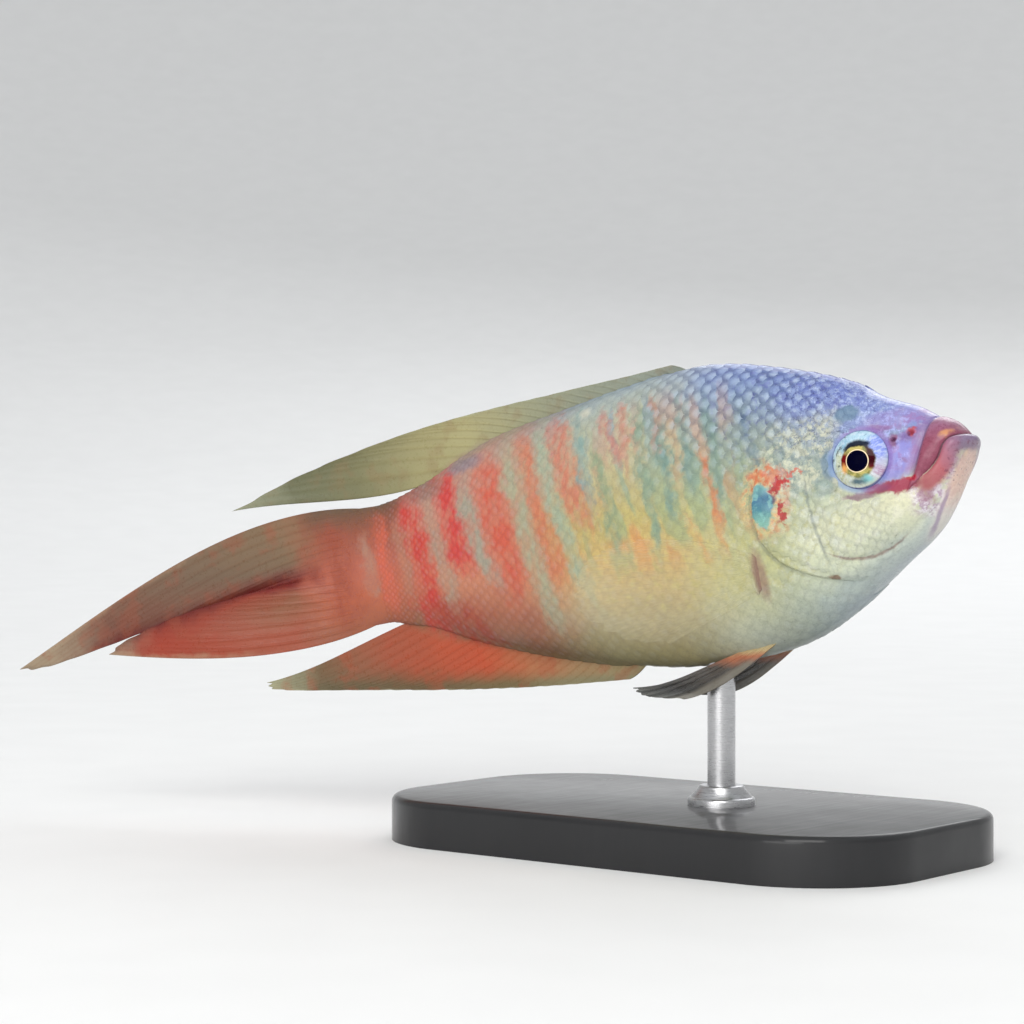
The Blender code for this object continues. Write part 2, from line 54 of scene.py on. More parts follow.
class Value:
    """What a node gives out. Sums and the methods here add the nodes that work on it."""

    def __init__(self, net, socket):
        self.net, self.socket = net, socket

    def __add__(self, other):
        return self.net.math("ADD", self, other)

    def __sub__(self, other):
        return self.net.math("SUBTRACT", self, other)

    def __mul__(self, other):
        return self.net.math("MULTIPLY", self, other)

    def __truediv__(self, other):
        return self.net.math("DIVIDE", self, other)

    def __abs__(self):
        return self.net.math("ABSOLUTE", self)

    def rise(self, low, high):
        """0 below low and 1 above high, with a soft step between. It falls where high is the lower."""
        turned = low > high
        return self.net.add("MapRange", self, min(low, high), max(low, high), float(turned),
                            float(not turned), interpolation_type="SMOOTHSTEP")

    def window(self, a, b, c, d):
        """Rises from a to b and falls from c to d."""
        return self.rise(a, b) * self.rise(d, c)

    def shifted(self, by, amount):
        """Moved to and fro by a noise."""
        return self + (by - 0.5) * amount

    def ramp(self, *stops):
        """A colour from stops (place, red, green, blue), in place of a number from 0 to 1."""
        node = self.net.node("ValToRGB", self)
        points = node.color_ramp.elements
        while len(points) < len(stops):
            points.new(1.0)
        for point, (position, *colour) in zip(points, stops):
            point.position, point.color = position, seen(*colour)
        return Value(self.net, node.outputs[0])

    def mixed(self, share, other, blend="MIX"):
        """This colour with a share of another."""
        return self.net.mix(share, self, other, blend)

    def layered(self, *layers):
        """This colour with paints laid over it one by one, each as (share, paint)."""
        colour = self
        for share, paint in layers:
            colour = colour.mixed(share, paint)
        return colour

    def dyed(self, share, dye):
        """This colour with a share of it multiplied by a dye."""
        return self.mixed(share, self.mixed(1.0, dye, "MULTIPLY"))

    def parts(self):
        return [Value(self.net, part) for part in self.net.node("SeparateXYZ", self).outputs]


class Net:
    """Adds nodes to one node tree."""

    def __init__(self, tree):
        self.tree = tree

    def feed(self, socket, value):
        if isinstance(value, Value):
            self.tree.links.new(value.socket, socket)
        elif value is not None:
            socket.default_value = seen(*value) if socket.type == "RGBA" else value

    def node(self, kind, *values, **settings):
        node = self.tree.nodes.new("ShaderNode" + kind)
        for name, value in settings.items():
            setattr(node, name, value)
        for socket, value in zip(node.inputs, values):
            self.feed(socket, value)
        return node

    def add(self, kind, *values, output=0, **settings):
        return Value(self, self.node(kind, *values, **settings).outputs[output])

    def read(self, attribute, output="Vector"):
        return self.add("Attribute", output=output, attribute_name=attribute)

    def math(self, operation, *values, clamp=False):
        return self.add("Math", *values, operation=operation, use_clamp=clamp)

    def noise(self, vector, scale, detail=2.0, roughness=0.5, output=0):
        return self.add("TexNoise", vector, None, scale, detail, roughness, output=output)

    def length(self, across, upward):
        return self.math("SQRT", across * across + upward * upward)

    def mix(self, share, a, b, blend="MIX"):
        node = self.tree.nodes.new("ShaderNodeMix")
        node.data_type, node.blend_type = "RGBA", blend
        for index, value in ((0, share), (6, a), (7, b)):
            self.feed(node.inputs[index], value)
        return Value(self, node.outputs[2])

    def bump(self, height, strength, distance):
        node = self.tree.nodes.new("ShaderNodeBump")
        for name, value in (("Strength", strength), ("Distance", distance), ("Height", height)):
            self.feed(node.inputs[name], value)
        return Value(self, node.outputs[0])


def new_material(name, **constants):
    """A material's net and its shader, with the shader's even sockets set, as Coat_Weight=1."""
    material = bpy.data.materials.new(name)
    material.use_nodes = True
    shader = material.node_tree.nodes["Principled BSDF"]
    for socket, value in constants.items():
        shader.inputs[socket.replace("_", " ")].default_value = value
    return material, Net(material.node_tree), shader.inputs


def new_piece(bm, name, material):
    """A smooth-shaded object of a bmesh."""
    mesh = bpy.data.meshes.new(name)
    bm.to_mesh(mesh)
    bm.free()
    mesh.materials.append(material)
    mesh.shade_smooth()
    piece = bpy.data.objects.new(name, mesh)
    bpy.context.scene.collection.objects.link(piece)
    return piece


def turned(outline, x=0.0):
    """A closed surface turned about an upright line at x, from its outline (radius, height) in metres."""
    bm = bmesh.new()
    verts = [bm.verts.new((x + radius, 0, height)) for radius, height in outline]
    edges = [bm.edges.new(pair) for pair in zip(verts, verts[1:])]
    bmesh.ops.spin(bm, geom=verts + edges, axis=(0, 0, 1), cent=(x, 0, 0), angle=2 * math.pi, steps=96,
                   use_merge=True)
    bmesh.ops.remove_doubles(bm, verts=bm.verts, dist=1e-6)
    bmesh.ops.recalc_face_normals(bm, faces=bm.faces)
    return bm


card, net, sockets = new_material("pale card", Roughness=0.9)
grain = net.noise(net.add("TexCoord", output="Object"), 90.0, 1.0)
net.feed(sockets["Base Color"], grain.ramp((0.3, 235, 235, 234), (0.7, 237, 237, 236)))
bend = [math.pi / 2 * n / 12 for n in range(13)]
bm = turned([(0, 0), *((COVE_FLOOR + COVE_BEND * math.sin(a), COVE_BEND * (1 - math.cos(a))) for a in bend),
             (COVE_FLOOR + COVE_BEND, COVE_HEIGHT)])
bmesh.ops.reverse_faces(bm, faces=bm.faces)
new_piece(bm, "cove", card)

bpy.context.scene.view_settings.view_transform = "Standard"
for name, place, size, watts, colour in (
        ("main lamp", (0.30, -0.55, 0.50), 0.45, 3.4, (1.0, 0.99, 0.97)),
        ("low lamp", (0.10, -0.60, 0.06), 0.40, 1.6, (1.0, 0.99, 0.98)),
        ("back lamp", (-0.25, 0.60, 0.55), 0.50, 2.0, (0.97, 0.98, 1.0))):
    lamp = bpy.data.lights.new(name, "AREA")
    lamp.shape, lamp.size, lamp.energy, lamp.color = "SQUARE", size, watts, colour
    holder = bpy.data.objects.new(name, lamp)
    holder.location = place
    holder.rotation_euler = (Vector((-0.02, 0, 0.03)) - Vector(place)).to_track_quat("-Z", "Y").to_euler()
    bpy.context.scene.collection.objects.link(holder)
world = bpy.data.worlds.new("studio air")
world.use_nodes = True
world.node_tree.nodes["Background"].inputs["Color"].default_value = (0.95, 0.97, 1.0, 1.0)
world.node_tree.nodes["Background"].inputs["Strength"].default_value = 0.72
bpy.context.scene.world = world

# The photograph's camera: level, a little above the table, with the head turned towards it.
lens = bpy.data.cameras.new("camera")
lens.lens, lens.sensor_width = 88.19, 36.0
lens.clip_start, lens.clip_end = 0.01, 20.0
camera = bpy.data.objects.new("camera", lens)
camera.location = (0.1255, -0.1786, 0.0291)
camera.rotation_euler = (math.radians(90), 0, math.radians(39))
bpy.context.scene.collection.objects.link(camera)
bpy.context.scene.camera = camera


# The skin: one closed hide from the lips to the root of the tail, over head, jaw, gill covers, trunk
# and stalk. It is wet, soft and finely grained, and it is drawn straight in millimetres, u back from
# the snout, y to the left and z up, then bent and tipped into the pose.
HEAD_UP = math.radians(9.6)
SWING_START, SWING_END = 34.0, 72.0
SWING_PER_MM = math.radians(20.0) / (SWING_END - SWING_START)
LIP_TIP, BODY_LENGTH, SNOUT_ROUND = 0.05, 61.0, 1.0
BACK = [(LIP_TIP, 0.75), (0.9, 1.25), (1.6, 2.0), (2.6, 2.7), (4.2, 3.85), (6, 4.75), (7.8, 5.75),
        (9.5, 6.9), (13.1, 8.5), (16.9, 9.8), (20.8, 10.9), (25, 11.5), (33.6, 11.0), (40.4, 10.3),
        (47.2, 9.4), (51.8, 8.0), (55.5, 6.5), (58.7, 5.8), (BODY_LENGTH, 5.5)]
BELLY = [(LIP_TIP, -0.3), (0.9, -1.6), (1.6, -2.9), (2.6, -4.45), (4.2, -6.25), (8.4, -9.0), (12.6, -11.4),
         (16.8, -13.2), (20.9, -14.0), (26, -14.2), (31, -13.9), (35.6, -13.1), (44, -11.1), (52.3, -8.4),
         (57, -6.4), (BODY_LENGTH, -5.7)]
WIDEST_LINE = [(LIP_TIP, 0.35), (1.5, -0.1), (4, -0.6), (9, -1.0), (18, -1.3), (34, -0.9), (50, -0.2),
               (BODY_LENGTH, -0.1)]
HALF_WIDTH = [(LIP_TIP, 1.35), (0.6, 1.9), (1.6, 2.2), (3, 2.6), (5.4, 3.4), (8, 4.15), (12, 5.0),
              (16, 5.6), (20, 5.9), (26, 5.9), (32, 5.6), (38, 5.0), (45, 4.1), (51, 3.2), (56, 2.2),
              (59, 1.5), (BODY_LENGTH, 1.0), (62.6, 0.64), (64.2, 0.28), (65.4, 0.08), (66.4, 0.01)]
SECTION_FULLNESS = 0.94
SKIN_END = 66.4
GAPE = [(-1.4, 1.0), (0.3, 0.9), (1.1, 0.68), (1.6, 0.2), (2.0, -0.55), (2.6, -1.25), (3.4, -1.85)]
UPPER_JAW_FOLD = [(2.5, 3.2), (2.8, 2.1), (3.1, 1.0), (3.5, -0.1), (3.9, -1.1), (4.3, -1.9)]
CHEEK_LINE = [(4.4, -5.3), (6.2, -6.7), (7.9, -7.4), (10.1, -7.65), (11.9, -7.2), (12.3, -5.6), (12.7, -3.4),
              (13.0, -1.4), (12.9, 0.8)]
GILL_EDGE = [(13.4, 13.0), (14.0, 6.2), (15.3, 3.4), (17.0, 0.9), (18.0, -2.2), (17.7, -4.8), (16.3, -7.0),
             (13.8, -8.5), (11.0, -9.4), (8.6, -10.4), (6.6, -13.0)]
NOSTRILS = [(4.05, 1.65, 0.3), (5.35, 1.3, 0.22)]
EYE_AT, EYE_SHOWN_RADIUS = (8.12, 0.18), 2.22
COAT_DEPTH, PAINTED_LENGTH = 0.12, 66.0
LIP_ROLL, LIP_CREASE, JAW_CREASE, SHEATH = 0.3, 0.1, 0.12, 0.3  # heights and depths of the relief
CHEEK_CREASE, CHEEK_ROLL, ORBIT_RIM, ORBIT_CREASE, SOCKET = 0.16, 0.18, 0.14, 0.07, 1.5
NOSTRIL_PIT, NOSTRIL_RIM, GILL_RISE, GILL_CREASE = 0.5, 0.09, 0.3, 0.07
SKIN_COLUMNS = 344


def smooth(stations, at):
    """The value at each place, from a smooth curve through the stations (place, value)."""
    x, v = np.array(stations, float).T
    at = np.clip(at, x[0], x[-1])
    i = np.clip(np.searchsorted(x, at) - 1, 0, len(x) - 2)
    n = np.arange(len(x))
    low, high = np.maximum(n - 1, 0), np.minimum(n + 1, len(x) - 1)
    slope = (v[high] - v[low]) / (x[high] - x[low])
    span = x[i + 1] - x[i]
    t = (at - x[i]) / span
    return ((2 * t**3 - 3 * t**2 + 1) * v[i] + (t**3 - 2 * t**2 + t) * span * slope[i]
            + (3 * t**2 - 2 * t**3) * v[i + 1] + (t**3 - t**2) * span * slope[i + 1])


def posed(straight):
    """Points (..., 3) of the straight fish, bent and tipped, in millimetres from the snout."""
    u, y, z = np.moveaxis(straight, -1, 0)
    angle = np.clip(u - SWING_START, 0, SWING_END - SWING_START) * SWING_PER_MM
    beyond = np.maximum(u - SWING_END, 0)
    x = (-np.minimum(u, SWING_START) - np.sin(angle) / SWING_PER_MM - beyond * np.cos(angle)
         - y * np.sin(angle))
    side = (np.cos(angle) - 1) / SWING_PER_MM + y * np.cos(angle) - beyond * np.sin(angle)
    return np.stack([x * math.cos(HEAD_UP) - z * math.sin(HEAD_UP), side,
                     x * math.sin(HEAD_UP) + z * math.cos(HEAD_UP)], -1)


ROD_AT, ROD_X, BELLY_HEIGHT = 27.0, 4.0, 16.0
HELD = posed(np.array([ROD_AT, 0.0, float(smooth(BELLY, ROD_AT))]))


def placed(straight):
    """Points of the straight fish where they are in the model, in metres."""
    return (posed(straight) - HELD + np.array([ROD_X, 0.0, BELLY_HEIGHT])) * MM


def plain_body(u, turn):
    """The body without its relief, at u and at an angle round it from the left side upwards."""
    blunt = np.sqrt(np.clip(1 - (1 - np.clip((u - LIP_TIP) / SNOUT_ROUND, 0, 1)) ** 2, 0, 1))
    middle = smooth(WIDEST_LINE, u)
    across, upward = np.cos(turn), np.sin(turn)
    high = np.where(upward > 0, smooth(BACK, u) - middle, middle - smooth(BELLY, u))
    y = smooth(HALF_WIDTH, u) * blunt * np.sign(across) * np.abs(across) ** SECTION_FULLNESS
    z = middle + high * blunt * np.sign(upward) * np.abs(upward) ** SECTION_FULLNESS
    return np.stack(np.broadcast_arrays(u, y, z), -1)


def smooth_line(points, steps=4):
    """The points with more between them, on a smooth curve."""
    at = np.arange((len(points) - 1) * steps + 1) / steps
    return np.stack([smooth([(n, p[k]) for n, p in enumerate(points)], at) for k in (0, 1)], -1)


def from_line(line, u, z):
    """How far each (u, z) is from the line, positive on its left."""
    nearest, side = np.full(np.shape(u), 1e9), np.ones(np.shape(u))
    for (au, az), (bu, bz) in zip(line, line[1:]):
        du, dz = bu - au, bz - az
        t = np.clip(((u - au) * du + (z - az) * dz) / (du * du + dz * dz), 0, 1)
        fu, fz = u - au - t * du, z - az - t * dz
        away = np.hypot(fu, fz)
        side = np.where(away < nearest, np.where(du * fz - dz * fu > 0, 1.0, -1.0), side)
        nearest = np.minimum(nearest, away)
    return nearest * side


def bump(distance, width):
    """1 on a line and 0 from width away."""
    return (1 - np.clip(np.abs(distance) / width, 0, 1) ** 2) ** 2


def step(value, low, high):
    """A soft step from 0 at low to 1 at high."""
    t = np.clip((value - low) / (high - low), 0, 1)
    return t * t * (3 - 2 * t)


HEAD_LINES = [smooth_line(line) for line in (GAPE, GILL_EDGE, UPPER_JAW_FOLD, CHEEK_LINE)]


def line_distances(u, z):
    """How far each point is from the gape, the gill edge, the jaw's fold and the cheek line."""
    return [from_line(line, u, z) for line in HEAD_LINES]


def lips_relief(u, gape, fold):
    """Two thick lips: the upper from the gape to the jaw's fold, the lower from the gape down."""
    ahead = -fold
    band = np.maximum(gape + ahead, 1e-6)
    across = np.clip(gape / band, 0, 1)
    upper = np.sqrt(np.clip(1 - (2 * across - 1) ** 2, 0, 1)) * np.clip(band / 1.4, 0, 1)
    upper = LIP_ROLL * upper * (gape > 0) * (ahead > 0)
    below = -gape
    rolled = np.where(below < 0.5, np.sqrt(np.clip(1 - (1 - below / 0.5) ** 2, 0, 1)),
                      1 - step(below, 0.5, 1.7))
    lower = LIP_ROLL * rolled * (below > 0) * step(u, 4.2, 2.6)
    crease = LIP_CREASE * bump(gape, 0.1) * step(u, 3.9, 3.2) + JAW_CREASE * bump(fold, 0.22)
    return upper + lower - crease


def head_relief(u, z, gape, gill, fold, cheek, covered=True):
    """How far the head's lips, folds, sockets and gill cover stand out from the plain body."""
    eye = np.hypot(u - EYE_AT[0], z - EYE_AT[1])
    out = lips_relief(u, gape, fold)
    off_belly = step(z - smooth(BELLY, u), 0.2, 2.2)
    out += off_belly * (CHEEK_ROLL * bump(cheek - 1.3, 1.2) - CHEEK_CREASE * bump(cheek, 0.35))
    out += ORBIT_RIM * bump(eye - 2.7, 0.6) - ORBIT_CREASE * bump(eye - 3.35, 0.3) * step(z, 0.5, -1.5)
    out -= SOCKET * step(eye, EYE_SHOWN_RADIUS + 0.1, EYE_SHOWN_RADIUS - 0.45)
    for nostril_u, nostril_z, radius in NOSTRILS:
        away = np.hypot(u - nostril_u, z - nostril_z)
        out += NOSTRIL_RIM * bump(away - radius - 0.08, 0.2) - NOSTRIL_PIT * bump(away, radius)
    if covered:
        low = step(z, 3.2, 0.6) * off_belly
        out += GILL_RISE * bump(gill + 0.9, 2.6) * low * step(gill, 0.1, -0.12)
        out -= GILL_CREASE * bump(gill - 0.12, 0.3) * low * step(z, -11.5, -8.5)
    return np.where(u < 20, out, 0.0)


def fin_sheath(u, y, z):
    """The low scaly rise at the feet of the fins on the back and the belly."""
    on_back = step(u, 26, 30) * step(u, 60, 56) * (z > 0)
    on_belly = step(u, 35, 38) * step(u, 61, 58) * (z < 0)
    return SHEATH * bump(y, 1.0) * (on_back + on_belly)


def filled(bm, points, **layers):
    """The bmesh with its corners moved to the points, in metres, and with vertex layers."""
    for vert, point in zip(bm.verts, points.reshape(-1, 3)):
        vert.co = point
    for name, values in layers.items():
        kinds = bm.verts.layers.float_vector if values.shape[-1] == 3 else bm.verts.layers.float
        layer = kinds.new(name)
        for vert, value in zip(bm.verts, values.reshape(len(bm.verts), -1)):
            vert[layer] = value if len(value) > 1 else value[0]
    return bm


def sheet(points, **layers):
    """A bmesh grid with its corners at points (rows, columns, 3), and with vertex layers."""
    bm = bmesh.new()
    bmesh.ops.create_grid(bm, x_segments=points.shape[1] - 1, y_segments=points.shape[0] - 1, size=1)
    return filled(bm, points, **layers)


def outward(points):
    """The outward direction at each point of a grid that is wrapped round the straight fish."""
    along, around = np.gradient(points, axis=0), np.gradient(points, axis=1)
    around[:, 0] = around[:, -1] = points[:, 1] - points[:, -2]
    normal = np.cross(around, along)
    return normal / np.maximum(np.linalg.norm(normal, axis=-1, keepdims=True), 1e-9)


snout_rows = LIP_TIP + SNOUT_ROUND * (1 - np.cos(np.linspace(0.08, math.pi / 2, 16)))
stations = np.concatenate([snout_rows, np.arange(1.15, 18.95, 0.105), np.arange(19, 61, 0.6),
                           np.linspace(61, SKIN_END, 14)])
turns = np.linspace(-math.pi / 2, 3 * math.pi / 2, SKIN_COLUMNS + 1)
plain = plain_body(stations[:, None], turns[None, :])
u, y, z = np.moveaxis(plain, -1, 0)
arcs = np.concatenate([np.zeros((len(stations), 1)),
                       np.cumsum(np.linalg.norm(np.diff(plain, axis=1), axis=-1), 1)], 1)
back_arc = arcs[:, SKIN_COLUMNS // 2:SKIN_COLUMNS // 2 + 1]
girth = np.abs(arcs / back_arc - 1)  # 0 on the ridge of the back, 1 under the belly
gape, gill, fold, cheek = line_distances(u, z)
coat_here = COAT_DEPTH * step(u, 5.0, 7.5) * step(u, 64.5, 59.0)
skin_out = head_relief(u, z, gape, gill, fold, cheek) + fin_sheath(u, y, z) - coat_here
skin_points = placed(plain + outward(plain) * skin_out[..., None])


def paint_group(name, taken=(), given_out=()):
    """A node group of markings: its net, what it is given, and the sockets it fills."""
    tree = bpy.data.node_groups.new(name, "ShaderNodeTree")
    for socket, kind in (*taken, ("Place", "Vector"), ("Lines", "Vector"), ("Round body", "Float")):
        tree.interface.new_socket(socket, in_out="INPUT", socket_type="NodeSocket" + kind)
    for socket, kind in (("Colour", "Color"), *given_out):
        tree.interface.new_socket(socket, in_out="OUTPUT", socket_type="NodeSocket" + kind)
    net = Net(tree)
    given = {socket.name: Value(net, socket) for socket in tree.nodes.new("NodeGroupInput").outputs}
    return net, given, tree.nodes.new("NodeGroupOutput").inputs


def moved_about(place, u, z):
    """Two noises, and (u, z) moved to and fro by them a little, somewhat and much."""
    flicker, fleck = (place.net.noise(place, 1.5, detail, 0.6, output=1).parts() for detail in (3.0, 4.0))
    near = [value.shifted(by, 0.7) for value, by in zip((u, z), flicker)]
    tame, wild = ([value.shifted(by, amount) for value, by in zip(near, fleck)] for amount in (0.6, 1.7))
    return flicker, fleck, near, tame, wild


net, given, put_out = paint_group("body colours", given_out=[("Scale edges", "Float")])
place, round_body = given["Place"], given["Round body"]
u, side_y, z = place.parts()
to_gill = given["Lines"].parts()[1]
drift = net.noise(place, 0.4, 2.0, output=1).parts()
mottle, pearl = net.noise(place, 1.1, 4.0, 0.65), net.noise(place, 2.0, 4.0, 0.7)
flicker, fleck, near, tame, wild = moved_about(place, u, z)
along_body, girth_here = u.shifted(drift[0], 4.0), round_body.shifted(drift[2], 0.12)
colour = None
for starts, full, stops in (  # head, nape, middle, rear and tail stalk, each from the back to the belly
        (0, 1, [(0, 120, 134, 208), (0.12, 132, 148, 212), (0.25, 146, 160, 208), (0.36, 156, 172, 186),
                (0.46, 164, 182, 172), (0.55, 208, 212, 180), (0.65, 234, 232, 196), (0.78, 222, 226, 196),
                (0.88, 204, 214, 204), (1, 196, 206, 210)]),
        (12.5, 17.5, [(0, 122, 138, 206), (0.1, 140, 160, 206), (0.2, 150, 166, 186), (0.3, 156, 168, 158),
                      (0.42, 162, 172, 142), (0.56, 186, 184, 138), (0.7, 206, 204, 152),
                      (0.84, 196, 200, 176), (1, 190, 198, 192)]),
        (20, 29, [(0, 148, 164, 178), (0.08, 162, 174, 174), (0.18, 178, 180, 156), (0.3, 186, 178, 144),
                  (0.42, 188, 176, 124), (0.5, 192, 176, 112), (0.6, 208, 174, 112), (0.68, 204, 180, 130),
                  (0.78, 188, 174, 136), (0.9, 168, 158, 116), (1, 146, 138, 102)]),
        (36, 46, [(0, 166, 146, 132), (0.12, 190, 150, 130), (0.3, 202, 146, 120), (0.5, 204, 134, 104),
                  (0.65, 210, 136, 102), (0.8, 182, 112, 82), (0.92, 156, 112, 84), (1, 140, 118, 82)]),
        (56, 60, [(0, 108, 84, 60), (0.2, 152, 84, 60), (0.5, 192, 106, 82), (0.75, 190, 100, 66),
                  (1, 160, 92, 62)])):
    ramp = girth_here.ramp(*stops)
    colour = colour.mixed(along_body.rise(starts, full), ramp) if colour else ramp

# Soft patches of bluish white and of yellow over the head and the flank, and dark crackles on the head.
head_top = u.window(4, 6.5, 13, 17) * round_body.rise(0.44, 0.3)
behind_eye = along_body.window(9.4, 10.8, 15.6, 18.4) * z.window(-2.4, -1.0, 3.0, 5.6)
crackle = abs(net.noise(place, 1.35, 3.0, 0.55) - 0.5).rise(0.018, 0.003)
colour = colour.layered(
    (mottle.rise(0.5, 0.64) * u.rise(24, 14) * (round_body.rise(0.72, 0.85) * -0.4 + 0.5),
     net.mix(round_body.rise(0.4, 0.55), (206, 220, 242), (244, 242, 220))),
    (flicker[1].rise(0.5, 0.64) * round_body.window(0.42, 0.5, 0.72, 0.82) * u.window(8, 12, 30, 40) * 0.35,
     (210, 200, 122)),
    (flicker[2].rise(0.5, 0.66) * round_body.rise(0.52, 0.36) * u.rise(26, 16) * 0.5,
     net.mix(round_body.rise(0.2, 0.4), (104, 106, 190), (112, 138, 146))),
    (pearl.rise(0.5, 0.62) * head_top * 0.75, (196, 210, 248)),
    (behind_eye * 0.55, (190, 194, 172)),
    (mottle.rise(0.44, 0.56) * behind_eye * 0.8, (230, 226, 194)),
    (pearl.rise(0.5, 0.38) * behind_eye * 0.5, (134, 154, 148)),
    (crackle * u.window(4, 7, 13, 18) * round_body.rise(0.48, 0.3) * 0.6, (66, 70, 126)))

# The front of the flank: narrow upright streaks, grey-green and salmon by turns, above a plain belly.
slanted = (u.shifted(drift[1], 1.6) - z * 0.24).shifted(flicker[0], 0.7)
streaks = net.noise(net.add("CombineXYZ", slanted * 0.62, z * 0.13, side_y * 0.1), 1.0, 1.0, 0.4)
front_flank = round_body.window(0.08, 0.2, 0.58, 0.68) * u.window(17, 21, 33, 40) * 0.6
colour = colour.layered(
    (streaks.rise(0.5, 0.62) * front_flank,
     round_body.ramp((0.1, 120, 146, 182), (0.3, 134, 164, 156), (0.5, 150, 170, 130))),
    (streaks.rise(0.46, 0.34) * front_flank,
     round_body.ramp((0.1, 170, 152, 158), (0.35, 198, 154, 122), (0.55, 216, 150, 92))))

far = u.shifted(flicker[0], 1.5).shifted(drift[2], 2.2), z.shifted(flicker[1], 2.6)
fine = u.shifted(flicker[0], 0.25), z.shifted(flicker[1], 0.25)
uneven = net.noise(net.add("CombineXYZ", u * 0.9, z * 0.5, side_y), 0.9, 2.0, 0.6)
uneven_width, uneven_paint = uneven * 0.9 + 0.1, uneven.rise(0.36, 0.6) * 0.5 + 0.5


def stripe(colour, points, half_width, paint, strength, line_only=False):
    """Lays a soft, uneven streak of paint through three places (u, z), down the flank or along it."""
    level = abs(points[0][1] - points[2][1]) < 1
    places = fine if line_only else near if level else far
    along, across = places if level else places[::-1]
    pairs = [point if level else point[::-1] for point in points]
    curve, slope, start = (float(k) for k in np.polyfit(*np.array(pairs).T, 2))
    line = along * (along * curve + slope) + start
    low, high = min(pairs)[0], max(pairs)[0]
    fade = (high - low) / 3
    inside = along.window(low - fade / 2, low + fade / 2, high - fade / 2, high + fade / 2)
    width = (inside * 0.6 + uneven_width) * half_width
    share = (abs(across - line) / width).rise(1.55, 0.15) * inside * strength
    return colour.mixed(share if line_only else share * uneven_paint, paint)


# The rear of the flank: broad red bars with pale grey-green ones between, widest towards the tail.
for points, half_width, paint, strength in (
        ([(61.0, 4.2), (60.6, 0.0), (60.2, -4.4)], 0.8, (220, 104, 74), 0.85),
        ([(62.7, 3.0), (62.5, 0.0), (62.2, -3.0)], 0.7, (178, 132, 110), 0.8),
        ([(66.8, 4.2), (66.3, 0.0), (65.6, -5.0)], 1.7, (160, 76, 50), 0.8),
        ([(57.6, 6.6), (56.2, -1.0), (55.6, -8.4)], 1.55, (210, 62, 48), 0.95),
        ([(53.2, 7.2), (51.9, 2.5), (50.7, -2.2)], 2.1, (214, 62, 54), 0.95),
        ([(53.8, -4.6), (52.6, -7.0), (51.2, -9.8)], 2.6, (176, 66, 40), 0.9),
        ([(47.7, 7.2), (46.3, 0.5), (45.8, -5.4)], 1.9, (216, 92, 66), 0.9),
        ([(43.6, 8.6), (41.3, 0.8), (39.6, -5.6)], 1.5, (214, 118, 82), 0.8),
        ([(39.6, 9.4), (37.6, 4.4), (36.2, -0.4)], 1.2, (208, 112, 88), 0.8),
        ([(36.4, 5.6), (35.4, 2.4), (34.6, -1.0)], 0.7, (200, 122, 88), 0.7),
        ([(33.4, 9.0), (31.9, 6.4), (31.0, 3.8)], 0.7, (198, 124, 110), 0.75),
        ([(33.4, -3.0), (31.0, -3.1), (28.6, -3.4)], 0.6, (222, 158, 96), 0.7),
        ([(55.3, 5.4), (53.6, -1.0), (52.9, -5.4)], 0.9, (176, 152, 128), 0.9),
        ([(50.6, 6.0), (48.9, 0.0), (47.4, -4.0)], 1.0, (166, 166, 144), 0.9),
        ([(45.3, 9.0), (43.4, 1.5), (41.3, -8.8)], 1.15, (172, 178, 146), 0.85),
        ([(41.6, 9.4), (38.7, 0.2), (36.2, -7.0)], 0.9, (164, 180, 154), 0.85),
        ([(37.0, 9.6), (35.6, 5.0), (34.6, 0.6)], 0.6, (132, 164, 160), 0.85),
        ([(33.8, 6.0), (32.8, 1.0), (32.6, -4.4)], 0.55, (142, 160, 128), 0.9),
        ([(29.4, 8.6), (28.4, 3.0), (27.7, -4.2)], 0.55, (132, 158, 138), 0.85),
        ([(27.4, 8.0), (26.2, 3.4), (25.6, -1.6)], 0.55, (118, 150, 142), 0.9),
        ([(24.8, 8.4), (23.8, 4.0), (23.3, 0.4)], 0.5, (122, 150, 144), 0.85),
        ([(21.8, 7.0), (20.9, 3.0), (20.5, -1.0)], 0.5, (122, 150, 140), 0.85),
        ([(18.9, 6.6), (17.7, 3.8), (17.4, 1.2)], 0.45, (108, 132, 152), 0.7),
        ([(31.4, 9.4), (30.6, 7.4), (30.2, 5.2)], 0.5, (200, 132, 112), 0.8),
        ([(28.0, 9.6), (27.3, 7.4), (26.9, 4.4)], 0.4, (194, 140, 120), 0.7),
        ([(25.6, 6.6), (24.9, 3.4), (24.5, 0.6)], 0.4, (192, 160, 126), 0.6),
        ([(22.6, 3.4), (21.7, 0.6), (20.9, -3.6)], 0.45, (206, 124, 84), 0.8),
        ([(24.6, -1.8), (23.4, -3.6), (22.8, -5.8)], 0.4, (216, 166, 104), 0.6),
        ([(58.9, 3.2), (58.2, 0.0), (57.9, -3.6)], 0.5, (178, 128, 100), 0.7)):
    colour = stripe(colour, points, half_width, paint, strength)


def spot(colour, places, at, radii, paint, strength, soft=0.35, lean=0.0):
    """Lays a soft-edged, uneven oval of paint over a colour. Places are (u, z)."""
    du, dz = places[0] - at[0], places[1] - at[1]
    if lean:
        du = du + dz * lean
    away = colour.net.length(du / radii[0], dz / radii[1])
    return colour.mixed(away.rise(1 + soft, 1 - soft) * strength, paint)


def spots(colour, *ovals):
    """Lays one oval after another, each given as for spot."""
    for oval in ovals:
        colour = spot(colour, *oval)
    return colour


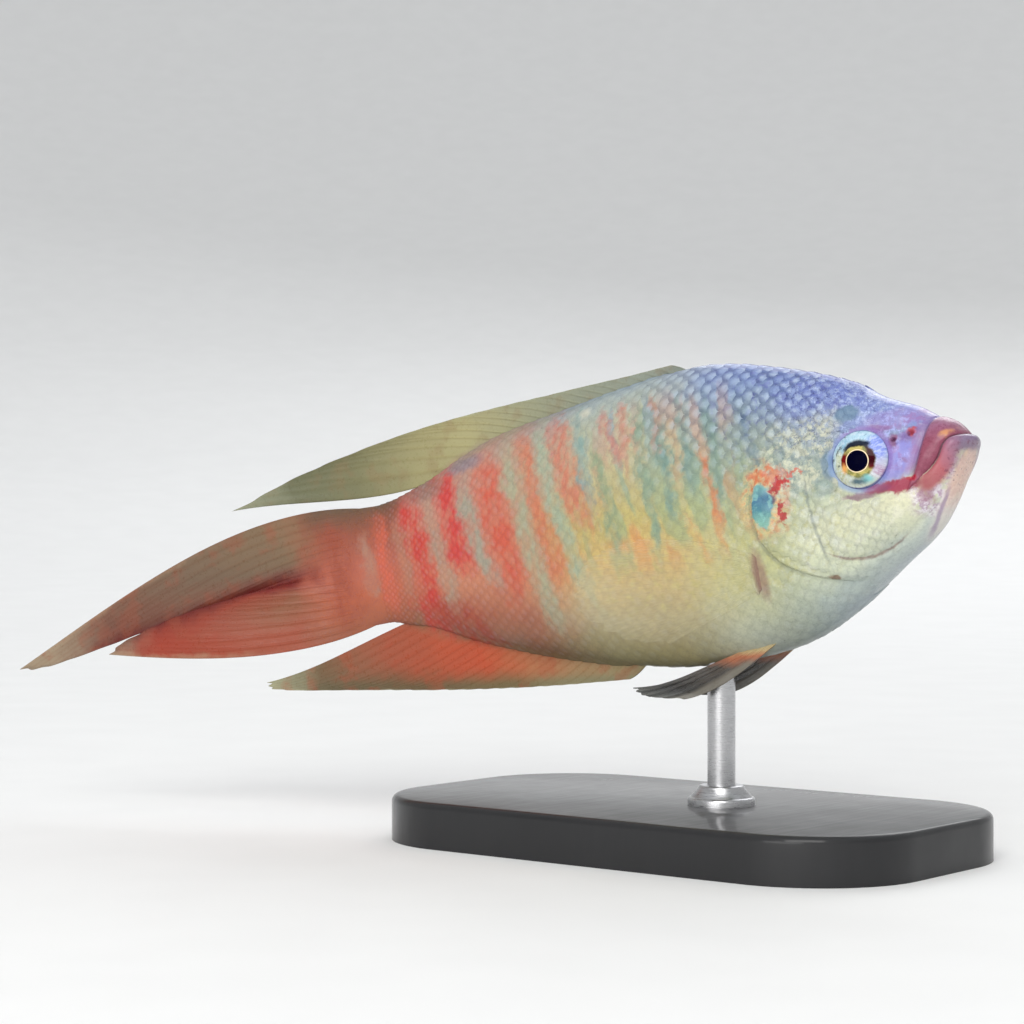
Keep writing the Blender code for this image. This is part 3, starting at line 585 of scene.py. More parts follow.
# The gill spot: teal, broken round by an orange glow, with scarlet flecks ahead of it. Before it come
# dark and pale patches of the back and the head.
glow = net.mix(fleck[2].rise(0.46, 0.64), (248, 210, 150), (232, 122, 64))
teal = near[1].rise(-3.8, -0.4).ramp((0, 138, 194, 176), (0.35, 84, 148, 164), (0.75, 62, 126, 160),
                                     (1, 124, 180, 180))
teal = teal.mixed(fleck[0].rise(0.5, 0.62) * 0.6, (150, 208, 202))
colour = spots(
    colour,
    (near, (50.6, 7.4), (2.2, 0.7), (142, 128, 138), 0.7, 0.5, 0.6),
    (near, (55.6, 5.8), (2.6, 0.9), (136, 108, 96), 0.55, 0.5),
    (near, (35.9, 9.4), (0.7, 0.38), (226, 220, 196), 0.55, 0.6),
    (near, (9.2, 4.2), (0.95, 0.7), (116, 146, 168), 0.85, 0.3),
    (near, (10.7, 0.2), (0.6, 1.2), (112, 142, 164), 0.75, 0.4),
    (near, (11.4, -1.6), (0.7, 0.8), (142, 166, 156), 0.5),
    (wild, (16.6, -1.7), (2.0, 2.9), glow, fleck[2].rise(0.36, 0.54) * 0.8),
    (wild, (15.9, 0.3), (1.5, 0.5), (232, 110, 56), 0.7, 0.4),
    (wild, (15.2, -0.5), (0.8, 0.5), (206, 22, 14), 0.97, 0.3),
    (wild, (13.9, 0.1), (0.5, 0.22), (220, 84, 54), 0.8, 0.4),
    (wild, (15.5, -1.1), (0.4, 0.3), (184, 22, 30), 0.9, 0.4),
    (wild, (15.3, -2.9), (0.3, 0.85), (192, 24, 22), 0.95, 0.4),
    (near, (15.95, -1.75), (0.34, 0.42), (62, 46, 92), 0.85, 0.4),
    (tame, (16.95, -2.1), (0.98, 1.8), teal, 0.97, 0.14),
    (near, (18.5, -7.6), (0.6, 2.0), (160, 118, 108), 0.7, 0.5))

# Thin lines: the bone ahead of the gill cover and the cheek's lower edge, and a painted shadow in the slit
# under the edge of the cover itself.
colour = stripe(colour, [(12.95, -0.6), (12.8, -4.0), (12.3, -7.4)], 0.12, (128, 136, 136), 0.5, True)
colour = stripe(colour, [(6.2, -6.5), (9.3, -7.6), (12.0, -6.9)], 0.11, (156, 124, 112), 0.7, True)
colour = spot(colour, near, (12.3, -8.7), (0.4, 0.25), (150, 110, 84), 0.8, 0.4)
# A painted shadow in the slit under the gill cover's edge.
gill_slit_shadow = to_gill.window(-0.12, 0.02, 0.16, 0.4) * z.window(-9.5, -6.5, -2.5, 0.5)
grain = net.noise(place, 4.5, 3.0, 0.7)
net.feed(put_out["Colour"], colour.layered((gill_slit_shadow * 0.4, (116, 122, 104)),
                                           (grain.rise(0.62, 0.3) * 0.16, (70, 74, 110))))
on_cheek = u.window(6, 8, 14, 18) * round_body.window(0.44, 0.54, 0.74, 0.84) * 0.22
on_nape = round_body.rise(0.5, 0.14) * u.window(8, 14, 19, 34)
net.feed(put_out["Scale edges"], (on_nape + on_cheek) * (mottle.rise(0.4, 0.6) * 0.6 + 0.4))
body_markings = net.tree

# The face's own markings, over the body's: the snout and nostrils, the lips and the skin round the eye.
net, given, put_out = paint_group("face colours", taken=[("Under", "Color")])
place, round_body = given["Place"], given["Round body"]
u, _, z = place.parts()
to_gape, _, to_fold = given["Lines"].parts()
mottle, pearl = net.noise(place, 1.1, 4.0, 0.65), net.noise(place, 2.0, 4.0, 0.7)
speckle = net.noise(place, 3.2, 3.0, 0.65)
flicker, _, near, tame, _ = moved_about(place, u, z)
snout = z.window(-1.8, -0.6, 3.2, 4.4)
colour = spots(
    given["Under"],
    (near, (5.3, -0.3), (1.9, 1.7), (146, 140, 220), 0.85, 0.35, 0.4),
    (near, (5.6, 3.2), (2.2, 0.8), (168, 150, 208), 0.5),
    (near, (3.3, 3.1), (1.2, 0.6), (158, 134, 190), 0.55))
colour = colour.layered(
    (flicker[0].rise(0.48, 0.6) * snout * u.window(2.6, 3.4, 5.2, 6.4) * 0.35, (172, 110, 164)),
    (pearl.rise(0.5, 0.6) * snout * u.window(3.6, 4.4, 6.2, 7.4) * 0.6, (182, 188, 246)))
colour = spots(
    colour,
    (near, (6.5, 2.5), (0.8, 0.35), (148, 84, 140), 0.6, 0.5, -0.8),
    (near, (4.2, 1.55), (0.8, 0.5), (124, 84, 150), 0.7, 0.5, 0.5),
    (tame, (4.0, 1.75), (0.32, 0.26), (200, 80, 80), 0.85, 0.6),
    (near, (5.4, 1.2), (0.3, 0.55), (126, 52, 92), 0.8, 0.5),
    (near, (4.6, -0.4), (0.28, 0.22), (140, 84, 130), 0.6, 0.5),
    (near, (5.9, -2.35), (2.4, 0.5), (158, 66, 88), 0.9, 0.25, -0.15),
    (tame, (5.2, -2.35), (1.2, 0.6), (170, 58, 84), 0.85, 0.3),
    (near, (8.6, -2.75), (1.3, 0.3), (140, 86, 124), 0.7, 0.4, -0.6))

# The lips and jaw: maroon, crimson towards the corner of the mouth, with a speckled pink and white chin.
near_gape = to_gape.shifted(flicker[2], 0.35)
jaw = to_gape.shifted(flicker[2], 1.6).window(-3.9, -2.7, -1.3, -0.9) * near[0].rise(5.4, 4.0)
low_down = round_body - near[0] * 0.045
colour = colour.layered(
    (jaw * mottle.rise(0.36, 0.52) * 0.85,
     net.mix(speckle.rise(0.4, 0.58), (186, 156, 184), (238, 230, 240))),
    (low_down.rise(0.66, 0.76) * u.rise(6.0, 4.0) * 0.7,
     net.mix(near[0].rise(1.6, 3.4), (246, 208, 178), (244, 236, 222))))
colour = spot(colour, tame, (3.6, -3.3), (0.55, 0.75), (156, 108, 124), 0.75, 0.6)
lower_lip = (near[0] * 0.25).ramp((0.1, 138, 114, 144), (0.26, 166, 104, 132), (0.5, 186, 84, 102),
                                  (0.95, 176, 92, 98))
upper_lip = net.mix(near[1].rise(2.4, 0.4), (162, 108, 140), (152, 78, 100))
upper_lip = upper_lip.mixed(speckle.rise(0.55, 0.4) * 0.35, (128, 52, 76))
upper_lip = spot(upper_lip, near, (1.4, 1.02), (0.34, 0.22), (228, 162, 106), 0.8, 0.8)
colour = colour.layered(
    (low_down.window(0.71, 0.74, 0.755, 0.785) * u.window(1.6, 2.6, 4.0, 5.4) * 0.6, (140, 112, 160)),
    (near_gape.window(-1.5, -0.95, -0.1, 0.0) * u.rise(4.3, 3.4) * 0.92, lower_lip),
    (speckle.rise(0.56, 0.66) * near_gape.window(-2.3, -1.7, -0.8, -0.4) * u.rise(3.0, 1.8) * 0.6,
     (124, 66, 90)),
    (to_fold.window(-0.1, 0.1, 0.35, 0.95) * z.window(-1.9, -1.1, 2.2, 3.2) * 0.6, (158, 112, 158)),
    (near_gape.rise(-0.05, 0.05) * to_fold.rise(0.12, -0.16) * u.rise(4.9, 4.3), upper_lip),
    # Painted shade in the creases: a dark line in the jaw's fold and another along the gape.
    (to_fold.window(-0.12, -0.04, 0.03, 0.14) * z.window(-1.9, -1.3, 2.0, 3.0) * 0.5, (96, 58, 100)),
    (to_gape.window(-0.13, -0.04, 0.04, 0.13) * u.rise(3.2, 1.6) * 0.8, (88, 36, 58)))
colour = spot(colour, near, (4.35, -1.95), (0.4, 0.18), (178, 14, 46), 0.9, 0.4)

# The skin round the eye, blue behind and below, with a thin dark maroon line against the eyeball, partly
# painted shade at the socket's edge.
from_eye = net.length(u - EYE_AT[0], z - EYE_AT[1])
rim_colour = (u - z).rise(3.5, 11.0).ramp((0.1, 150, 112, 184), (0.4, 140, 110, 178), (0.6, 120, 132, 192),
                                          (1, 116, 148, 200))
colour = colour.mixed(from_eye.window(2.1, 2.3, 2.5, 2.9) * 0.65, rim_colour)
colour = spot(colour, near, (6.9, -2.3), (0.9, 0.32), (152, 74, 116), 0.7, 0.5, -0.3)
# The thin dark line at the socket's edge: maroon skin, darkened as painted shade.
net.feed(put_out["Colour"], colour.mixed(from_eye.window(1.8, 2.0, 2.24, 2.36) * 0.8, (74, 60, 120)))
face_markings = net.tree


def fish_colours(net, with_face=False):
    """The fish's markings, under painted light and shade along its length, and the mask of its scales' edges,
    read from a piece's own attributes.
    """
    taken = {"Place": net.read("place"), "Lines": net.read("lines"), "Round body": net.read("girth", "Fac")}
    edges = None
    for markings in (body_markings, face_markings)[:1 + with_face]:
        group = net.tree.nodes.new("ShaderNodeGroup")
        group.node_tree = markings
        for name, value in taken.items():
            net.feed(group.inputs[name], value)
        edges = edges or Value(net, group.outputs["Scale edges"])
        taken["Under"] = Value(net, group.outputs["Colour"])
    # Painted light and shade along the length: the whole colour is multiplied by a ramp from snout to tail.
    painted_light_and_shade = (taken["Place"].parts()[0] / PAINTED_LENGTH).ramp(
        (0, 231, 229, 231), (0.24, 221, 226, 226), (0.34, 248, 246, 239), (0.52, 243, 243, 239),
        (0.64, 231, 231, 231))
    return taken["Under"].mixed(1.0, painted_light_and_shade, "MULTIPLY"), edges


wet_skin, net, sockets = new_material("wet skin", Roughness=0.4, Coat_Weight=0.45, Coat_Roughness=0.12,
                                      Coat_IOR=1.36, Specular_IOR_Level=0.25)
net.feed(sockets["Base Color"], fish_colours(net, with_face=True)[0])
place = net.read("place")
fine, coarse = net.noise(place, 7.0, 4.0, 0.65), net.noise(place, 1.8, 2.0)
net.feed(sockets["Roughness"], (fine + coarse).rise(1.9, -0.3))
net.feed(sockets["Normal"], net.bump(fine * 0.5 + coarse, 0.35, 0.0001))

bm = sheet(skin_points, place=plain, lines=np.stack([gape, gill, fold], -1), girth=girth)
bmesh.ops.remove_doubles(bm, verts=bm.verts, dist=1e-7)
bmesh.ops.holes_fill(bm, edges=[e for e in bm.edges if e.is_boundary])
bmesh.ops.recalc_face_normals(bm, faces=bm.faces)
skin = new_piece(bm, "fish_skin", wet_skin)
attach(skin, "root")
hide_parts("head", "lower_jaw", "gill_cover_right", "gill_cover_left", "trunk", "tail_stalk")


# The eyes: a flattened ball with a black pupil in a thin gold ring, a banded iris, and a wide ring of
# silver skin round it, all under one clear wet layer. Each is set into its socket and looks a little
# forward and up.
EYE_RADIUS, EYE_DEPTH, PUPIL_AT = 2.6, 1.9, (0.42, -0.08)
EYE_FORWARD, EYE_UP = math.radians(13.0), math.radians(4.0)


def side_at(u, z):
    """How far the plain flank is from the middle of the fish at (u, z)."""
    middle = smooth(WIDEST_LINE, u)
    reach = np.where(z > middle, smooth(BACK, u) - middle, middle - smooth(BELLY, u))
    share = np.clip(np.abs(z - middle) / reach, 0, 1)
    return smooth(HALF_WIDTH, u) * (1 - share ** (2 / SECTION_FULLNESS)) ** (SECTION_FULLNESS / 2)


eye_surface, net, sockets = new_material("wet eye", Roughness=0.2, Coat_Weight=1.0, Coat_Roughness=0.02,
                                         Coat_IOR=1.33, Specular_IOR_Level=0.0)
on_eye = net.read("on_eye")
out_ahead, out_up, _ = on_eye.parts()
wobble = net.noise(on_eye, 1.2, 3.0, 0.6, output=1).parts()
cloud = net.noise(net.add("CombineXYZ", out_ahead, out_up, 3.0), 1.6, 3.0, 0.6)
across, upward = out_ahead - PUPIL_AT[0], out_up - PUPIL_AT[1]
radius = net.length(across, upward)
pupil_edge, loose = radius.shifted(wobble[0], 0.1), radius.shifted(wobble[2], 0.45)
round_pupil = net.math("ARCTAN2", upward, across) * 3.2
fibres = net.noise(net.add("CombineXYZ", round_pupil, radius * 0.9, 0.0), 3.0, 3.0, 0.7)
on_iris = across.shifted(wobble[0], 0.5), upward.shifted(wobble[1], 0.5)

iris = spots(
    net.mix(on_iris[1].rise(-1.6, 1.4), (196, 202, 184), (168, 200, 216)),
    (on_iris, (1.45, 0.85), (0.8, 1.2), (128, 140, 222), 0.85, 0.5),
    (on_iris, (1.5, -0.55), (0.5, 0.6), (186, 184, 208), 0.7, 0.5),
    (on_iris, (1.15, -1.25), (0.5, 0.4), (206, 202, 208), 0.7, 0.5),
    (on_iris, (1.75, -1.35), (0.5, 0.75), (168, 116, 160), 0.7, 0.5, 0.5),
    (on_iris, (-1.55, -0.3), (0.5, 1.5), (186, 188, 150), 0.85, 0.5),
    (on_iris, (-1.1, 1.45), (0.7, 0.5), (120, 164, 186), 0.6, 0.5))
iris = iris.layered(
    (fibres.rise(0.46, 0.62) * 0.5, (212, 222, 232)),
    (fibres.rise(0.42, 0.32) * 0.5, (104, 116, 150)),
    # Painted shade: dark clouds over the rear side of the eye, the side away from the light.
    (cloud.rise(0.56, 0.66) * on_iris[0].rise(-0.4, -1.2) * 0.75, (74, 82, 86)),
    (loose.rise(1.5, 1.25), net.mix(cloud.rise(0.4, 0.6), (124, 124, 70), (184, 172, 104))))
iris = spots(
    iris,
    (on_iris, (0.5, -1.55), (0.42, 0.3), (110, 190, 196), 0.8, 0.7),
    (on_iris, (-0.3, -1.62), (0.6, 0.24), (30, 76, 96), 0.85, 0.7))
brow = loose.window(1.15, 1.3, 1.55, 1.85) * upward.rise(0.6, 1.0) * on_iris[0].window(-1.35, -0.7, 0.8, 1.15)
beside = loose.window(0.8, 0.9, 1.3, 1.5) * abs(across).rise(0.6, 0.95)
iris = iris.layered(
    (brow * 0.97, (12, 18, 38)),
    (beside * across.rise(-0.1, 0.1) * upward.window(-0.95, -0.6, 0.9, 1.15),
     net.mix(upward.rise(-0.2, -0.8), (52, 4, 14), (96, 22, 26))),
    (beside * across.rise(0.1, -0.1) * upward.window(-0.4, -0.1, 0.55, 0.9), (104, 10, 12)))
iris = spot(iris, on_iris, (-1.15, -0.42), (0.26, 0.34), (232, 162, 92), 0.85, 0.8)
# A dark blue band at the ball's edge, where it sinks into its socket, is painted shade.
painted_shade_rim = net.length(out_ahead, out_up) - out_ahead * 0.08 - out_up * 0.05
net.feed(sockets["Base Color"], iris.layered(
    (pupil_edge.window(0.83, 0.87, 0.9, 0.96), (246, 222, 186)),
    (pupil_edge.rise(0.88, 0.84), (4, 4, 26)),
    (painted_shade_rim.rise(2.22, 2.34) * 0.85, (66, 68, 132))))
net.feed(sockets["Coat Weight"], radius.rise(0.84, 1.0) * 0.45 + 0.02)
net.feed(sockets["Normal"], net.bump(fibres * radius.rise(0.9, 1.2), 0.2, 0.0001))

for side, word in ((-1, "right"), (1, "left")):
    set_in = EYE_DEPTH * math.sqrt(1 - (EYE_SHOWN_RADIUS / EYE_RADIUS) ** 2)
    look = Vector((math.sin(EYE_FORWARD), side * math.cos(EYE_FORWARD), math.sin(EYE_UP))).normalized()
    turn = np.array(look.to_track_quat("Z", "Y").to_matrix())
    bm = bmesh.new()
    bmesh.ops.create_uvsphere(bm, u_segments=96, v_segments=64, radius=1)
    ball = np.array([vert.co for vert in bm.verts]) * (EYE_RADIUS, EYE_RADIUS, EYE_DEPTH)
    middle = np.array([EYE_AT[0], side * float(side_at(*EYE_AT)), EYE_AT[1]])
    filled(bm, placed(middle + (ball @ turn.T - np.array(look) * set_in) * (-1, 1, 1)),
           on_eye=np.stack([ball @ turn[0], ball @ turn[2], ball[:, 2]], -1))
    bmesh.ops.recalc_face_normals(bm, faces=bm.faces)
    eyeball = new_piece(bm, f"{word}_eyeball", eye_surface)
    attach(eyeball, "root")
    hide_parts(f"eye_{word}")


# The scales: some two thousand thin round plates of clear horn over silvery skin, laid like tiles, with
# each rear edge a little proud. They lie in slanting rows over the flanks, nape, cheeks and gill covers.
SCALE_ROWS = 20
SCALE_COLUMN_STEP = 0.56
SCALES_FROM, SCALES_TO, BARE_ROUND_EYE = 6.0, 63.6, 3.25
SCALE_LENGTH, SCALE_HEIGHT = 1.35, 0.6
SCALE_RISE, SCALE_DOME, SCALE_THICKNESS = 0.16, 0.02, 0.05
PATCH_HALF = 0.0015  # of a scale's own patch on the bake map
GROWTH_RINGS, SPOKES = 42.0, 60.0

shares = np.linspace(0, 1, 101)
left_half = slice(SKIN_COLUMNS // 2, None, -1)
turn_table = np.array([np.interp(shares, row[left_half], turns[left_half]) for row in girth])
side_girth = back_arc[:, 0]


def at_share(u, share, side):
    """The plain body's point and outward direction at u and a share of the way round from back to belly."""
    row = np.interp(u, stations, np.arange(len(stations)))
    r0 = np.clip(row.astype(int), 0, len(stations) - 2)
    k = np.clip(share, 0, 1) * 100
    k0 = np.clip(k.astype(int), 0, 99)
    past_r, past_k = row - r0, k - k0
    turn = ((turn_table[r0, k0] * (1 - past_k) + turn_table[r0, k0 + 1] * past_k) * (1 - past_r)
            + (turn_table[r0 + 1, k0] * (1 - past_k) + turn_table[r0 + 1, k0 + 1] * past_k) * past_r)
    turn = np.where(side > 0, turn, math.pi - turn)
    along = plain_body(u + 0.05, turn) - plain_body(u - 0.05, turn)
    around = plain_body(u, turn + 0.01) - plain_body(u, turn - 0.01)
    normal = np.cross(around, along)
    return plain_body(u, turn), normal / np.linalg.norm(normal, axis=-1, keepdims=True)


def scale_roots():
    """The place of every scale as (u, share of the way from back to belly), column by column."""
    roots, u, column = [], SCALES_FROM, 0
    while u < SCALES_TO:
        pitch = float(np.interp(u, stations, side_girth)) / SCALE_ROWS
        for row in range(SCALE_ROWS + 1):
            share = (row + (0.5 if column % 2 else 0.0)) / SCALE_ROWS
            if 0.02 < share < 0.985:
                roots.append((u, share))
        u += SCALE_COLUMN_STEP * pitch
        column += 1
    return np.array(roots)


def has_scale(u, z, gill):
    """Scales leave bare the snout, the jaw, the round of the eye and the edge of the gill cover."""
    eye = np.hypot(u - EYE_AT[0], z - EYE_AT[1])
    on_head_top = (u > 8.8) & (z > 3.0)
    on_cheek = (u > 6.0) & (z < -3.5) & (z > smooth(BELLY, u) + 1.0)
    off_edge = (gill < -0.75) | (gill > 0.15) | (z > 2.4)
    return (eye > BARE_ROUND_EYE) & (on_head_top | on_cheek | (u > 11.2)) & off_edge


bm = bmesh.new()
bmesh.ops.create_grid(bm, x_segments=6, y_segments=4, size=1)
for vert in bm.verts:
    x, y = vert.co.x, vert.co.y
    blunt_x, blunt_y = (2.5, 3.4) if y > 0 else (2.0, 2.0)
    vert.co = Vector((x * math.sqrt(1 - y * y / blunt_x), y * math.sqrt(1 - x * x / blunt_y), 1))
under = bm.faces[:]
bmesh.ops.extrude_face_region(bm, geom=under)
lowered = {v for f in under if f.is_valid for v in f.verts}
for vert in lowered:
    vert.co.z = 0
bmesh.ops.dissolve_faces(bm, faces=[f for f in under if f.is_valid])
bmesh.ops.recalc_face_normals(bm, faces=bm.faces)
plate = bpy.data.meshes.new("one_scale")
bm.to_mesh(plate)
bm.free()
plate_points = np.array([v.co for v in plate.vertices])

wet_scale, net, sockets = new_material("wet scale", Roughness=0.34, Coat_Weight=0.5, Coat_Roughness=0.1,
                                       Coat_IOR=1.36, Specular_IOR_Level=0.25)
markings, edges = fish_colours(net)
across, back, odd = net.read("on_scale").parts()
from_middle = net.length(across, back - 0.25)
# Painted shade darkens each scale's rim and a painted highlight lightens its middle, most where the scales'
# edges show.
painted_shade_rim = from_middle.rise(0.4, 0.8) * (edges * 0.7 + 0.12)
painted_highlight = from_middle.rise(0.62, 0.2) * (edges * 0.6 + 0.06) * (odd * 0.9 + 0.1)
colour = markings.dyed(painted_shade_rim, (160, 168, 194)).mixed(painted_highlight, (186, 204, 222))
net.feed(sockets["Base Color"], colour.dyed(odd * (edges * 0.3 + 0.12), (198, 198, 208)))
rings = net.math("SINE", from_middle * GROWTH_RINGS)
spokes = net.math("SINE", net.math("ARCTAN2", across, back + 1.3) * SPOKES)
fine = net.noise(net.read("place"), 9.0, 3.0, 0.6)
net.feed(sockets["Roughness"], (fine + odd * 0.3).rise(2.2, -0.2))
net.feed(sockets["Normal"], net.bump(rings * 0.1 + spokes * 0.06 + fine, 0.3, 0.00006))

roots = scale_roots()
chance = np.random.default_rng(11)
for side, word in ((-1, "right"), (1, "left")):
    root_u, root_share = roots.T
    root_point, _ = at_share(root_u, root_share, side)
    root_lines = line_distances(root_u, root_point[:, 2])
    kept = has_scale(root_u, root_point[:, 2], root_lines[1])
    root_u, root_share, root_gill = root_u[kept], root_share[kept], root_lines[1][kept]
    count = len(root_u)
    pitch = np.interp(root_u, stations, side_girth) / SCALE_ROWS
    size = chance.uniform(0.95, 1.06, count)
    x, y, top = (plate_points[None, :, k] for k in range(3))
    lean = chance.uniform(-0.07, 0.07, (count, 1))
    x, y = x + lean * y, y - lean * x
    half_length = (SCALE_LENGTH * SCALE_COLUMN_STEP * pitch * size)[:, None]
    u = root_u[:, None] + y * half_length - half_length * 0.3
    half_girth = np.interp(u, stations, side_girth)
    share = root_share[:, None] + x * (SCALE_HEIGHT * pitch * size)[:, None] / half_girth
    point, normal = at_share(u, share, side)
    lines = line_distances(point[..., 0], point[..., 2])
    relief = np.where(root_gill[:, None] < 0, head_relief(point[..., 0], point[..., 2], *lines),
                      head_relief(point[..., 0], point[..., 2], *lines, covered=False))
    relief = relief + fin_sheath(*np.moveaxis(point, -1, 0))
    bold = np.where(root_gill < 0, 0.75, 0.65) + 0.3 * step(root_share, 0.5, 0.2) * step(root_u, 40, 26)
    bold = (bold * (0.4 + 0.6 * step(root_u, 9, 14)) * step(root_u, 65, 58))[:, None]
    proud = bold * (SCALE_DOME * (1 - x * x) - SCALE_RISE * (1 - y) / 2)
    proud = proud - SCALE_THICKNESS * (1 - top) + chance.uniform(-0.01, 0.01, (count, 1))
    proud = proud - 0.13 * step(u, 59, 64.2) - 0.12 * step(root_u, 12, 9)[:, None] * (1 - y) / 2
    shaped = placed(point + normal * (relief + proud)[..., None])
    bm = bmesh.new()
    for _ in range(count):
        bm.from_mesh(plate)
    odd = np.broadcast_to(chance.uniform(0, 1, (count, 1)), x.shape)
    filled(bm, shaped, place=point, lines=np.stack(lines[:3], -1), on_scale=np.stack([x, y, odd], -1),
           girth=np.clip(share, 0, 1))
    patches = bm.loops.layers.uv.new("OFBake")
    middle = np.stack([root_u / PAINTED_LENGTH, (root_share + (side > 0)) / 2], -1)
    spread = (middle[:, None] + np.stack([y, x], -1) * PATCH_HALF).reshape(-1, 2)
    bm.verts.index_update()
    for face in bm.faces:
        face.smooth = True
        for loop in face.loops:
            loop[patches].uv = spread[loop.vert.index]
    if side < 0:
        bmesh.ops.reverse_faces(bm, faces=bm.faces)
    scales = new_piece(bm, f"{word}_scales", wet_scale)
    scales.data.set_sharp_from_angle(angle=math.radians(50))
    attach(scales, "root")
bpy.data.meshes.remove(plate)


# The fins: clear skin stretched between bony rays, thick and fleshy at the root. Stiff spines stand at
# the front of the back and belly fins. The soft rays behind them fork, are jointed, and fray a little.
# At shares of the way through a fin: its ray's root (u, z), its tip (u, z), and its slopes at both, in
# degrees. The root heights of back, belly and pelvic fins come from the body instead.
DORSAL = {0: (25.4, 0, 27.8, 12.2, 16, 12), 0.25: (32.1, 0, 36.4, 12.25, 20, 10),
          0.5: (38.8, 0, 46.0, 12.2, 20, 6), 0.72: (44.7, 0, 56.4, 11.6, 18, 0),
          0.88: (49.0, 0, 68.0, 9.6, 6, -7), 1: (52.2, 0, 75.9, 7.2, -19, -2)}
ANAL = {0: (34.2, 0, 36.8, -14.2, -12, -10), 0.25: (40.2, 0, 45.4, -13.7, -18, -8),
        0.5: (46.2, 0, 55.0, -12.8, -20, -4), 0.75: (52.2, 0, 66.4, -11.3, -20, 4),
        0.9: (56.0, 0, 74.3, -10.2, -16, 4), 1: (58.4, 0, 75.2, -9.4, -12, -4)}
CAUDAL = {0: (61.3, 5.1, 101.7, -4.5, 14, -24), 0.1: (61.3, 4.2, 99.0, -4.7, 10, -24),
          0.225: (61.3, 2.9, 91.5, -3.5, 6, -21), 0.375: (61.3, 1.4, 81.0, -1.6, 1, -15),
          0.5: (61.3, 0.0, 72.8, -0.6, -1, -5), 0.61: (61.3, -1.4, 77.0, -1.0, -2, 2),
          0.75: (61.3, -2.9, 83.5, -1.9, -6, 6), 0.9: (61.3, -4.5, 89.3, -3.5, -12, 10),
          1: (61.3, -5.2, 91.0, -4.5, -18, 12)}
PECTORAL = {0: (18.5, -5.9, 26.8, -3.2, 34, 10), 0.22: (18.5, -6.6, 30.4, -4.0, 24, 4),
            0.45: (18.6, -7.3, 32.2, -6.5, 10, -2), 0.65: (18.7, -7.9, 31.6, -9.2, -6, -10),
            0.85: (18.8, -8.5, 28.9, -11.4, -20, -20), 1: (18.9, -9.0, 25.9, -12.2, -34, -28)}
PELVIC = {0: (18.8, 0, 29.4, -16.7, -26, 0), 0.45: (20.0, 0, 33.2, -16.0, -16, 2),
          1: (21.4, 0, 34.6, -15.1, -10, 6)}
PECTORAL_SPREAD, PELVIC_SPREAD, PELVIC_AT = math.radians(24.0), math.radians(4.0), 1.9
ROOT_IN_SKIN = 0.45
COLUMNS_PER_RAY, FIN_ROWS = 10, 48
RAY_HALF, WEB_HALF, FIN_TIP_HALF = 0.14, 0.07, 0.05
RAY_JOINTS = 260.0  # radians of joint marks along a ray
RIDGE_HALF, RAY_FORK, RIPPLE = 0.17, 0.24, 0.1  # the first two as shares of the way between rays
STALK_TOP, STALK_DEPTH = 5.6, 11.4  # the body at the root of the tail


def ray_path(rays, share, along, edge_height=None):
    """The places (u, z) a share of the way through a fin's rays and along them."""
    root_u, root_z, tip_u, tip_z, start, end = (
        smooth([(place, ray[n]) for place, ray in rays.items()], share) for n in range(6))
    if edge_height:
        root_z = edge_height(root_u)
    third = np.hypot(tip_u - root_u, tip_z - root_z) / 3
    start, end = np.radians(start), np.radians(end)
    weights = ((1 - along) ** 3, 3 * (1 - along) ** 2 * along, 3 * (1 - along) * along ** 2, along ** 3)
    us = (root_u, root_u + third * np.cos(start), tip_u - third * np.cos(end), tip_u)
    zs = (root_z, root_z + third * np.sin(start), tip_z - third * np.sin(end), tip_z)
    return sum(w * v for w, v in zip(weights, us)), sum(w * v for w, v in zip(weights, zs))


def belly_at(u, y):
    """The height of the plain body's underside at u and y."""
    across = np.clip(np.abs(y) / smooth(HALF_WIDTH, u), 0, 0.999)
    upward = (1 - across ** (2 / SECTION_FULLNESS)) ** (SECTION_FULLNESS / 2)
    middle = smooth(WIDEST_LINE, u)
    return middle - (middle - smooth(BELLY, u)) * upward


